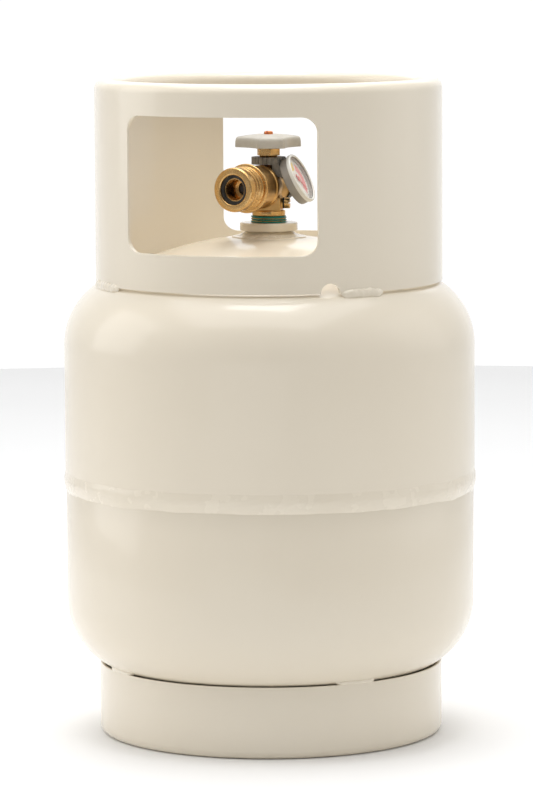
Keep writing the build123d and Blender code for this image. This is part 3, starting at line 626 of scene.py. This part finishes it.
def bead_run(name, radius, z, size, azimuth, span, lumps, seed, flat):
    """A lumpy run of weld along an arc, round in section, that tapers off at its ends."""
    steps, around = int(span * 6), 28
    verts = []
    for step in range(steps + 1):
        t = step / steps
        turn = radians(azimuth - 90 + span * (t - 0.5))
        ends = max(0.02, min(1.0, sin(pi * t) * 2.4) ** 0.5)
        along = radius * radians(span) * t
        drift = size * lumps * wobble(along, seed, 2.5, 90)
        for k in range(around):
            a = 2 * pi * k / around
            lump = wobble(along, size * cos(a) + seed, size * sin(a), 230)
            fine = wobble(along, size * cos(a) + seed, size * sin(a), 480)
            reach = size * ends * (1 + lumps * lump + 0.2 * lumps * fine)
            r = radius + reach * cos(a) * flat
            height = z + drift + reach * sin(a)
            verts.append(Vector((r * cos(turn), r * sin(turn), height)))
    faces = quad_rows(steps + 1, around)
    faces.append(tuple(range(around)))
    faces.append(tuple(steps * around + k for k in range(around)))
    return add_mesh(name, verts, faces, 80)


COLLAR_RUNS = ((52.0, 16.0), (-50.0, 24.0))  # azimuth and span, in degrees
COLLAR_BEAD_R = 0.0038
COLLAR_LUMPS = 0.26
FOOT_RUN_AZ = 49.5
FOOT_RUN_SPAN = 15.0
FOOT_BEAD_R = 0.0034
FOOT_LUMPS = 0.08


def collar_beads():
    """Flat smeared runs under the collar's lower edge, the same on both sides."""
    radius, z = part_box("collar")[1].x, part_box("collar")[0].z
    runs = []
    for index, (azimuth, span) in enumerate(COLLAR_RUNS):
        for turn in (0, 180):
            runs.append(bead_run(f"run_{index}_{turn}", radius - 0.0004, z - 0.0010, COLLAR_BEAD_R,
                                 azimuth + turn, span, COLLAR_LUMPS, index * 3.1 + turn / 57, 0.6))
    piece = join_pieces("collar_beads", runs)
    return finished(piece, "tank", ["collar_welds"], BEAD_PAINT)


def foot_beads():
    """Four smooth runs in the slot over the foot ring."""
    radius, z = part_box("foot_ring")[1].x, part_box("foot_ring")[1].z
    runs = [bead_run(f"foot_run_{turn}", radius - 0.0026, z + 0.0022, FOOT_BEAD_R,
                     FOOT_RUN_AZ + 90 * turn, FOOT_RUN_SPAN, FOOT_LUMPS, turn * 2.7, 0.9)
            for turn in range(4)]
    piece = join_pieces("foot_beads", runs)
    return finished(piece, "tank", ["foot_ring_welds"], BEAD_PAINT)


def base_ring():
    """Foot ring: a straight wall rolled in at the bottom to a flat lip."""
    low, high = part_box("foot_ring")
    radius, thick, roll, flat_in = high.x, 0.0028, 0.006, 0.112
    top = high.z + 0.0009
    turn_r = radius - roll
    outline = softened([(radius - thick, top - 0.0005, 0.0004), (radius, top, 0.0007),
                        (radius, roll + 0.01)])
    outline += arc((turn_r, roll), roll, 0, -90, 14)
    outline += softened([(turn_r - 0.002, 0), (flat_in, 0, 0.0009),
                         (flat_in, thick, 0.0009), (turn_r - 0.002, thick)])
    outline += arc((turn_r, roll), roll - thick, -90, 0, 10)
    piece = lathe("base_ring", outline)
    return finished(piece, "tank", ["foot_ring"], PAINT)


# ----------------------------------------------------------------------- valve

OUT_REACH = 0.053          # from the valve's axis to the outlet's face
RELIEF_Z = 0.411
BLEEDER_Z = 0.4014
FLANGE_TOP_Z = 0.3958
BLOCK_TOP_Z = 0.4062
BLOCK_HALF = 0.0098
TOWER_R = 0.0095
TOWER_TOP_Z = 0.427
DISC_END = 0.0215          # depths behind the outlet's face
BARREL_END = 0.0425
THREAD_R, THREAD_ROOT_R = 0.0133, 0.0126
HEAD_LOW_Z = 0.4374
GLAND_THREAD_Z = 0.4282

out_mount = mounts["outlet_thread"]
out_axis = Vector(out_mount["axis"]).normalized()
outlet_z = out_mount["pos_m"][2]
behind_face = frame_along(Vector((0, 0, outlet_z)) + out_axis * OUT_REACH, -out_axis)
behind_axis = frame_along(Vector((0, 0, RELIEF_Z)), -out_axis)
block_yaw = atan2(joints["bleeder_turn"]["axis"][1], joints["bleeder_turn"]["axis"][0])
block_turn = Matrix.Rotation(block_yaw, 4, "Z")


def solid_lathe(name, corners, place, turn=96):
    """A filled turned form, closed on its axis."""
    return lathe(name, softened(corners, 3), place, turn)


def forging():
    """Forged part of the valve: overlapping forms melted into one skin."""
    tower_low = FLANGE_TOP_Z - 0.0018
    tower = solid_lathe("tower", [(0, tower_low), (TOWER_R, tower_low), (TOWER_R, TOWER_TOP_Z, 0.001),
                                  (0, TOWER_TOP_Z)], Matrix.Identity(4))
    barrel = solid_lathe("barrel", [(0, DISC_END), (0.0172, DISC_END), (0.0152, BARREL_END, 0.0012),
                                    (0, BARREL_END + 0.0015)], behind_face)
    rim_low, rim_r = BARREL_END - 0.004, 0.0163
    rim = solid_lathe("rim", [(0, rim_low), (rim_r, rim_low, 0.0003), (rim_r, rim_low + 0.0035, 0.0008),
                              (0, rim_low + 0.0045)], behind_face)
    neck = solid_lathe("neck", [(0, 0.040), (0.0128, 0.040), (0.0105, 0.056), (0, 0.058)], behind_face)
    relief_r, relief_end = 0.0082, 0.0195
    relief_boss = solid_lathe("relief_boss", [(0, 0), (relief_r, 0), (relief_r, relief_end, 0.0006),
                                              (0, relief_end)], behind_axis)
    bleeder_r, bleeder_end = 0.0044, 0.011
    bleeder_way = frame_along(Vector((0, 0, BLEEDER_Z)), joints["bleeder_turn"]["axis"])
    bleeder_boss = solid_lathe("bleeder_boss", [(0, 0), (bleeder_r, 0), (bleeder_r, bleeder_end, 0.0004),
                                                (0, bleeder_end)], bleeder_way)
    half = BLOCK_HALF
    square = ((-half, -half), (half, -half), (half, half), (-half, half))
    corners = [Vector((x, y, z)) for z in (FLANGE_TOP_Z, BLOCK_TOP_Z) for x, y in square]
    block = add_mesh("block", [block_turn @ c for c in corners],
                     [(0, 1, 2, 3), (4, 5, 6, 7), *quad_rows(2, 4)])
    forms = [tower, barrel, rim, neck, relief_boss, bleeder_boss, block]
    piece = join_pieces("valve_forging", forms)
    add_modifier(piece, "REMESH", mode="VOXEL", voxel_size=0.00038, use_smooth_shade=True)
    add_modifier(piece, "SMOOTH", factor=0.5, iterations=3)
    apply_modifiers(piece)
    bore_r, bore_low, bore_high, axis_r = 0.008, 0.010, 0.036, 0.00001
    bore = lathe("bore", [Vector((axis_r, bore_low)), Vector((bore_r, bore_low)),
                          Vector((bore_r, bore_high)), Vector((axis_r, bore_high))], behind_face, 72)
    add_modifier(piece, "BOOLEAN", object=bore, operation="DIFFERENCE", solver="EXACT")
    apply_modifiers(piece)
    bpy.data.objects.remove(bore)
    for polygon in piece.data.polygons:
        polygon.use_smooth = True
    piece.data.set_sharp_from_angle(angle=radians(42))
    return finished(piece, "tank", ["valve_body"], FORGED_BRASS)


def outlet_nose():
    """Turned front of the outlet: lip, coarse thread and disc outside, mouth and throat inside."""
    lip_r, root_r, disc_r = 0.01665, 0.0151, 0.0185
    mouth_r, throat_r, seat_r = 0.01115, 0.008, 0.0054
    corners = [(mouth_r, 0.0004, 0.0004), (mouth_r + 0.0008, 0, 0.0003), (lip_r, 0, 0.0018),
               (lip_r, 0.006, 0.0006), (root_r, 0.0068, 0.0003)]
    pitch, crest, first, ease = 0.00423, 0.0017, 0.0077, 0.0003
    for ridge in range(3):
        start = first + ridge * pitch
        corners += [(root_r, start, ease), (lip_r, start + 0.0006, ease),
                    (lip_r, start + 0.0002 + crest, ease), (root_r, start + 0.0008 + crest, ease)]
    corners += [(root_r, 0.0183, ease), (disc_r, 0.0188, 0.0007), (disc_r, 0.0213, 0.0007)]
    tail_r, tail, floor, mouth_depth = 0.0168, 0.0222, 0.0175, 0.009
    corners += [(tail_r, tail - 0.0005, ease), (tail_r, tail), (seat_r, tail)]
    corners += [(seat_r, floor + 0.0001, ease), (throat_r, floor, ease),
                (throat_r, mouth_depth, 0.0002), (mouth_r, mouth_depth, 0.0002)]
    piece = lathe("outlet_nose", softened(corners, 3), behind_face, 160)
    return finished(piece, "tank", ["valve_body"], BRASS)


def valve_shank():
    """Inlet thread above the boss and the chamfered round flange."""
    low_z, duct_r, root_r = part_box("valve_body")[0].z, 0.0035, THREAD_ROOT_R
    corners = [(duct_r, low_z), (root_r, low_z), (THREAD_R, 0.364), (THREAD_R, 0.387), (root_r, 0.3874)]
    pitch, first, ease = 0.00181, 0.3876, 0.0002
    for ridge in range(2):
        start = first + ridge * pitch
        corners += [(root_r, start, ease), (THREAD_R, start + 0.0007, ease),
                    (root_r, start + 0.0014, ease)]
    corners += [(0.0120, 0.3917), (0.0125, 0.3930, 0.0004), (0.0125, FLANGE_TOP_Z, 0.0006)]
    corners += [(0.0115, 0.3962), (duct_r, 0.3962)]
    piece = lathe("valve_shank", softened(corners, 3), turn=128)
    return finished(piece, "tank", ["valve_body"], BRASS)


def sealant_bands():
    """Sealant squeezed into uneven threads under the flange."""
    low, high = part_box("thread_sealant")
    steps = 30
    outline = [Vector((1, step / steps)) for step in range(steps + 1)] + [Vector((0, 1)), Vector((0, 0))]

    def shape(out, up, angle):
        z = low.z + (high.z - low.z) * up
        if not out:
            return 0.0124, z
        thread = cos(2 * pi * (up * 2.6 + angle / (2 * pi)))
        smear = 0.00035 * wobble(cos(angle), sin(angle), up * 3, 5)
        lower_spread = 0.0006 * max(0.0, 0.35 - up)
        return 0.01305 + 0.0004 * thread + smear + lower_spread, z

    piece = lathe("sealant_bands", outline, turn=160, shape=shape, sharp=80)
    return finished(piece, "tank", ["thread_sealant"], SEALANT)


def bonnet_gland():
    """Threaded neck and chamfered hexagon head of the gland."""
    low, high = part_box("bonnet")
    neck_r, hex_r, bore_r = 0.007, 0.0091, 0.00285
    head_low = HEAD_LOW_Z
    corners = [(bore_r, low.z), (neck_r, low.z)]
    for ridge in range(9):
        start = GLAND_THREAD_Z + ridge * 0.001
        corners += [(neck_r, start), (neck_r - 0.0004, start + 0.0005)]
    corners += [(neck_r, head_low), (bore_r, head_low)]
    neck = lathe("neck", [Vector(c) for c in corners], turn=72)

    def flats(radius, z, angle):
        if radius < neck_r:
            return radius, z
        part = (degrees(angle) % 60) - 30
        flat = hex_r * cos(radians(30)) / cos(radians(part))
        edge = min(abs(z - head_low), abs(high.z - z)) / 0.001
        return min(radius, flat, hex_r - 0.0002 * max(0.0, 1 - edge)), z

    outline = softened([(bore_r, head_low), (hex_r, head_low, 0.0003), (hex_r, high.z - 0.0008, 0.0003),
                        (hex_r - 0.0011, high.z, 0.0003), (bore_r, high.z, 0.0003)], 3)
    head = lathe("head", outline, turn=180, shape=flats)
    piece = join_pieces("bonnet_gland", [neck, head])
    return finished(piece, "tank", ["bonnet"], BRASS)


# ------------------------------------------------------------------- handwheel

WHEEL_LOBE_R = 0.0236      # to a lobe's flat end, which bulges by the crown
WHEEL_CROWN = 0.0005
WHEEL_HALF_W = 0.0104
WHEEL_DIP_R = 0.0175
WHEEL_SKIRT_H = 0.008
WHEEL_T = 0.0024
WHEEL_AZ = 25.7
SCREW_R = 0.0034
SCREW_HALF_SLOT = 0.0006
SCREW_SLOT_H = 0.0022


def wheel_points(per_lobe=44):
    """Outline of the wheel: three lobes with softly rounded corners, counter-clockwise."""
    corner_r = sqrt(WHEEL_LOBE_R ** 2 + WHEEL_HALF_W ** 2)
    corner_turn = degrees(asin(WHEEL_HALF_W / corner_r))

    def through(first, mid, last, steps):
        """Points of the arc through three points, without the last one."""
        ax, ay, bx, by, cx, cy = *first, *mid, *last
        aa, bb, cc = ax * ax + ay * ay, bx * bx + by * by, cx * cx + cy * cy
        d = 2 * (ax * (by - cy) + bx * (cy - ay) + cx * (ay - by))
        centre = Vector(((aa * (by - cy) + bb * (cy - ay) + cc * (ay - by)) / d,
                         (aa * (cx - bx) + bb * (ax - cx) + cc * (bx - ax)) / d))
        start, end = first - centre, last - centre
        swing = start.angle_signed(end)
        return [centre + Matrix.Rotation(-swing * step / steps, 2) @ start for step in range(steps)]

    def polar(radius, turn):
        return Vector((radius * cos(radians(turn)), radius * sin(radians(turn))))

    raw = []
    for lobe in range(3):
        turn = 120 * lobe
        first, last = polar(corner_r, turn - corner_turn), polar(corner_r, turn + corner_turn)
        following = polar(corner_r, turn + 120 - corner_turn)
        raw += through(first, polar(WHEEL_LOBE_R + WHEEL_CROWN, turn), last, per_lobe // 2)
        raw += through(last, polar(WHEEL_DIP_R, turn + 60), following, per_lobe)
    total = len(raw)
    for _ in range(5):
        raw = [(raw[k - 1] + raw[k] * 2 + raw[(k + 1) % total]) / 4 for k in range(total)]
    return raw


def wheel():
    """Skirted three-lobed cap with a domed top and a hub, turned to its rest place."""
    low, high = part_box("handwheel")
    outline = wheel_points()
    total = len(outline)
    normals = []
    for k in range(total):
        along = (outline[(k + 1) % total] - outline[k - 1]).normalized()
        normals.append(Vector((along.y, -along.x)))
    height, thick, shoulder = WHEEL_SKIRT_H, WHEEL_T, 0.0027
    dome = high.z - low.z - height
    # inset from the outline and height: up the inside, round the skirt's edge, up the outside
    levels = ((thick, height - thick), (thick, 0.0006), (thick - 0.0004, 0), (0.0004, 0),
              (0.0001, 0.0004), (0.0002, height * 0.5), (0.0005, height - 0.0022),
              (0.0009, height - 0.0010), (0.0017, height - 0.0003), (shoulder, height))
    domes = (0.85, 0.7, 0.55, 0.4, 0.3, 0.22, 0.16)
    under = (0.36, 0.5, 0.7, 0.9)
    rings = []
    ceiling = height - thick

    def inset(depth):
        return [o - n * depth for o, n in zip(outline, normals)]

    for scale in under:
        rings.append([(p * scale, ceiling) for p in inset(thick)])
    for depth, z in levels:
        rings.append([(p, z) for p in inset(depth)])
    for scale in domes:
        rise = dome * min(1.0, 1.15 * (1 - scale * scale))
        rings.append([(p * scale, height + rise) for p in inset(shoulder)])
    verts = []
    spin = Matrix.Rotation(radians(WHEEL_AZ - 90), 4, "Z")
    for ring in rings:
        verts += [spin @ Vector((p.x, p.y, low.z + z)) for p, z in ring]
    faces = quad_rows(len(rings), total)
    faces.append(tuple(range(total)))
    faces.append(tuple((len(rings) - 1) * total + k for k in range(total)))
    cap = add_mesh("cap", verts, faces, 50)
    stem_r, hub_r = 0.0028, 0.006
    hub = lathe("hub", softened([(stem_r, low.z), (hub_r, low.z, 0.0005),
                                 (hub_r + 0.0003, low.z + ceiling), (stem_r, low.z + ceiling)], 3),
                turn=64)
    piece = join_pieces("wheel_cap", [cap, hub])
    return finished(piece, "handwheel", ["handwheel"], WHEEL_GREY)


def wheel_screw():
    """Slotted screw on the wheel: two half heads with the slot between."""
    low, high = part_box("handwheel_screw")
    steps, halves = 24, []
    per = steps + 1
    rings = ((1.0, low.z), (1.0, high.z - 0.0012), (0.93, high.z - 0.0005),
             (0.75, high.z - 0.0001), (0.45, high.z))
    for side in (-1, 1):
        verts = []
        for scale, z in rings:
            for k in range(per):
                turn = -pi / 2 + pi * k / steps
                x = max(SCREW_HALF_SLOT, SCREW_R * scale * cos(turn))
                verts.append(Vector((side * x, SCREW_R * scale * sin(turn), z)))
        faces = quad_rows(len(rings), per)
        faces.append(tuple((len(rings) - 1) * per + k for k in range(per)))
        faces.append(tuple(range(per)))
        halves.append(add_mesh(f"half_{side}", verts, faces, 50))
    disc_r, floor_z = SCREW_R - 0.00005, high.z - SCREW_SLOT_H
    disc = lathe("disc", softened([(NEAR_AXIS, low.z), (disc_r, low.z), (disc_r, floor_z),
                                   (NEAR_AXIS, floor_z)]), turn=48)
    piece = join_pieces("wheel_screw", [*halves, disc])
    return finished(piece, "handwheel", ["handwheel_screw"], COPPER)


# ----------------------------------------------------------------------- gauge

gauge_joint = joints["needle_turn"]
gauge_place = frame_along(Vector(gauge_joint["pos_m"]), gauge_joint["axis"])


CUP_R = 0.0186
CUP_BACK = -0.0095      # heights from the gauge's face, along its needle's axis
CUP_EDGE = -0.0018
CUP_T = 0.0015
BEZEL_R = 0.01925
WINDOW_R = 0.0168
NEEDLE_REST = -48       # degrees


def gauge_cup():
    """Cup with a rounded back."""
    inner_r, floor = CUP_R - CUP_T, CUP_BACK + CUP_T
    outline = softened([(NEAR_AXIS, CUP_BACK), (CUP_R, CUP_BACK, 0.0016), (CUP_R, CUP_EDGE),
                        (inner_r, CUP_EDGE), (inner_r, floor, 0.0006), (NEAR_AXIS, floor)], 5)
    piece = lathe("gauge_cup", outline, gauge_place, 160)
    return finished(piece, "tank", ["gauge_housing"], GAUGE_GREY)


def gauge_rim():
    """Thin bezel rolled over the cup's edge."""
    outline = softened([(CUP_R, -0.0032, 0.0002), (BEZEL_R, -0.0032, 0.0004), (BEZEL_R, -0.0006, 0.0008),
                        (0.0185, 0, 0.0006), (0.0176, -0.0002, 0.0004), (0.0170, -0.0009, 0.0002),
                        (CUP_R, -0.00095)], 5)
    piece = lathe("gauge_rim", outline, gauge_place, 160)
    return finished(piece, "tank", ["gauge_bezel"], BEZEL)


def gauge_window():
    """Slightly domed clear window."""
    steps, edge, back, dome, axis_r = 10, -0.0012, -0.0020, 0.0005, 1e-5
    outline = []
    for step in range(steps + 1):
        part = step / steps
        outline.append(Vector((max(WINDOW_R * part, axis_r), edge + dome * (1 - part ** 2))))
    outline += [Vector((WINDOW_R, back)), Vector((axis_r, back))]
    piece = lathe("gauge_window", outline, gauge_place, 128)
    return finished(piece, "tank", ["gauge_lens"], LENS)


ZONES = ((-62, 62, 1), (78, 118, 2), (128, 236, 3))  # start, end and finish: red, yellow, green
MARKS = 13
MARK_FINISH = 4


def gauge_card():
    """Dial with three coloured zones and plain graduations, each its own faces."""
    top, bottom, edge, hole = -0.0040, -0.0046, WINDOW_R, 0.0012
    verts, faces, finishes = [], [], []

    def patch(r0, r1, a0, a1, z, finish, steps):
        first = len(verts)
        for step in range(steps + 1):
            a = radians(a0 + (a1 - a0) * step / steps)
            verts.extend([Vector((r0 * cos(a), r0 * sin(a), z)), Vector((r1 * cos(a), r1 * sin(a), z))])
        for step in range(steps):
            k = first + 2 * step
            faces.append((k, k + 1, k + 3, k + 2))
            finishes.append(finish)

    patch(hole, edge, 0, 360, top, 0, 120)
    patch(edge, hole, 0, 360, bottom, 0, 120)
    for a0, a1, finish in ZONES:
        patch(0.0074, 0.0140, a0, a1, top + 0.00005, finish, max(6, int((a1 - a0) / 3)))
    for mark in range(MARKS):
        a = -60 + 24.4 * mark
        outer = 0.0158 if mark % 3 else 0.0164
        patch(0.0146, outer, a - 1.0, a + 1.0, top + 0.00006, MARK_FINISH, 1)
    mesh = bpy.data.meshes.new("gauge_card")
    mesh.from_pydata([tuple(gauge_place @ v) for v in verts], [], faces)
    for polygon, finish in zip(mesh.polygons, finishes):
        polygon.material_index = finish
    piece = bpy.data.objects.new("gauge_card", mesh)
    bpy.context.scene.collection.objects.link(piece)
    finished(piece, "tank", ["gauge_dial"], CARD,
             (CARD_RED, CARD_YELLOW, CARD_GREEN, CARD_INK))
    for polygon, finish in zip(piece.data.polygons, finishes):
        polygon.material_index = finish
    return piece


def gauge_pointer():
    """Tapered red pointer with a domed hub."""
    rest = gauge_place @ Matrix.Rotation(radians(NEEDLE_REST), 4, "Z")
    hub_r, tail, tip = 0.0022, -0.0045, 0.0125
    hub = lathe("hub", softened([(NEAR_AXIS, -0.0036), (hub_r, -0.0036), (hub_r, -0.0028, 0.0005),
                                 (NEAR_AXIS, -0.0025)], 4), rest, 48)
    plan = [(tail, -0.0012), (tail, 0.0012), (0.0, 0.0010), (tip, 0.0003), (tip, -0.0003), (0.0, -0.0010)]
    verts = [rest @ Vector((x, y, z)) for z in (-0.0034, -0.0029) for x, y in plan]
    count = len(plan)
    faces = [tuple(range(count)), tuple(range(count, 2 * count)), *quad_rows(2, count)]
    arm = add_mesh("arm", verts, faces)
    piece = join_pieces("gauge_pointer", [hub, arm])
    return finished(piece, "needle", ["gauge_needle"], NEEDLE_RED)


# ----------------------------------------------------------- camera and lights

def floor():
    """Pale round floor, wide enough to run out of sight behind the tank."""
    reach, rings, steps = 2.6, 12, 96
    turns = [2 * pi * k / steps for k in range(steps)]
    verts = []
    for ring in range(rings + 1):
        radius = reach * (ring + 0.001) / rings
        verts += [(radius * cos(turn), radius * sin(turn), 0) for turn in turns]
    plane = add_mesh("studio_floor", verts, quad_rows(rings + 1, steps))
    pale = surface_material("pale_floor", (0.93, 0.93, 0.93), (0.95, 0.95, 0.95), 3.0,
                            (0.6, 0.7), 6.0, 60.0, 0.00001)
    plane.data.materials.append(pale)


def world():
    """Bright tent all round, dimmer on the camera's side."""
    sky = bpy.data.worlds.new("studio")
    bpy.context.scene.world = sky
    sky.use_nodes = True
    nodes, links = sky.node_tree.nodes, sky.node_tree.links
    place = nodes.new("ShaderNodeTexCoord")
    facing = nodes.new("ShaderNodeVectorMath")
    facing.operation = "DOT_PRODUCT"
    turn = radians(CAMERA_AZIMUTH)
    facing.inputs[1].default_value = (sin(turn), -cos(turn), 0)
    links.new(place.outputs["Generated"], facing.inputs[0])
    halved = nodes.new("ShaderNodeMath")
    halved.operation = "MULTIPLY_ADD"
    halved.inputs[1].default_value = 0.5
    halved.inputs[2].default_value = 0.5
    links.new(facing.outputs["Value"], halved.inputs[0])
    tone = nodes.new("ShaderNodeValToRGB")
    tones = ((0.03, 1.04), (0.14, 0.72), (0.5, 0.62), (1.0, 0.26))
    while len(tone.color_ramp.elements) < len(tones):
        tone.color_ramp.elements.new(0.5)
    for element, (position, level) in zip(tone.color_ramp.elements, tones):
        element.position = position
        element.color = (level, level, level, 1)
    links.new(halved.outputs["Value"], tone.inputs["Fac"])
    background = nodes["Background"]
    links.new(tone.outputs["Color"], background.inputs["Color"])
    background.inputs["Strength"].default_value = 1.0


def light(name, azimuth, distance, height, size, power, target):
    """A soft rectangular light that looks at the tank's axis, at the target's height."""
    lamp = bpy.data.lights.new(name, "AREA")
    lamp.energy = power
    lamp.shape = "RECTANGLE"
    lamp.size, lamp.size_y = size
    holder = bpy.data.objects.new(name, lamp)
    turn = radians(azimuth)
    holder.location = (distance * sin(turn), -distance * cos(turn), height)
    aim = Vector((0, 0, target)) - Vector(holder.location)
    holder.rotation_euler = aim.to_track_quat("-Z", "Y").to_euler()
    bpy.context.scene.collection.objects.link(holder)


# name, azimuth, distance, height, size, power and the height it looks at
LIGHTS = (
    ("left_box", -75, 2.2, 1.1, (1.6, 1.8), 10, 0.25),
    ("right_box", 115, 2.2, 1.1, (1.6, 1.8), 3, 0.25),
    ("top_box", 10, 0.3, 2.2, (2.4, 2.4), 25, 0.0),
    ("mouth_box", 0, 0.02, 1.9, (0.7, 0.7), 8, 0.0),
    ("low_box", 8, 1.6, 0.12, (1.2, 0.15), 0.25, 0.02),
    ("rear_wash", 200, 2.0, 2.6, (3.0, 3.0), 20, 0.0),
)


def camera():
    """Long lens, a little above the tank's top and looking slightly down."""
    lens = bpy.data.cameras.new("camera")
    lens.lens = CAMERA_LENS
    lens.sensor_width = 36.0
    lens.clip_end = 200.0
    lens.shift_x = CAMERA_SHIFT_X
    holder = bpy.data.objects.new("camera", lens)
    turn = radians(CAMERA_AZIMUTH)
    holder.location = (CAMERA_DISTANCE * sin(turn), -CAMERA_DISTANCE * cos(turn), CAMERA_HEIGHT)
    aim = Vector((-sin(turn) * cos(radians(CAMERA_PITCH)), cos(turn) * cos(radians(CAMERA_PITCH)),
                  -sin(radians(CAMERA_PITCH))))
    facing = aim.to_track_quat("-Z", "Y").to_matrix()
    holder.rotation_euler = (facing @ Matrix.Rotation(radians(CAMERA_ROLL), 3, "Z")).to_euler()
    bpy.context.scene.collection.objects.link(holder)
    bpy.context.scene.camera = holder


finish_cad_nodes()
upper_tank()
lower_tank()
girth_bead()
bung()
bung_fillet()
collar()
collar_beads()
base_ring()
foot_beads()
forging()
outlet_nose()
valve_shank()
sealant_bands()
bonnet_gland()
wheel()
wheel_screw()
gauge_cup()
gauge_rim()
gauge_window()
gauge_card()
gauge_pointer()
floor()
world()
for lamp in LIGHTS:
    light(*lamp)
camera()
bpy.context.scene.view_settings.view_transform = "Standard"
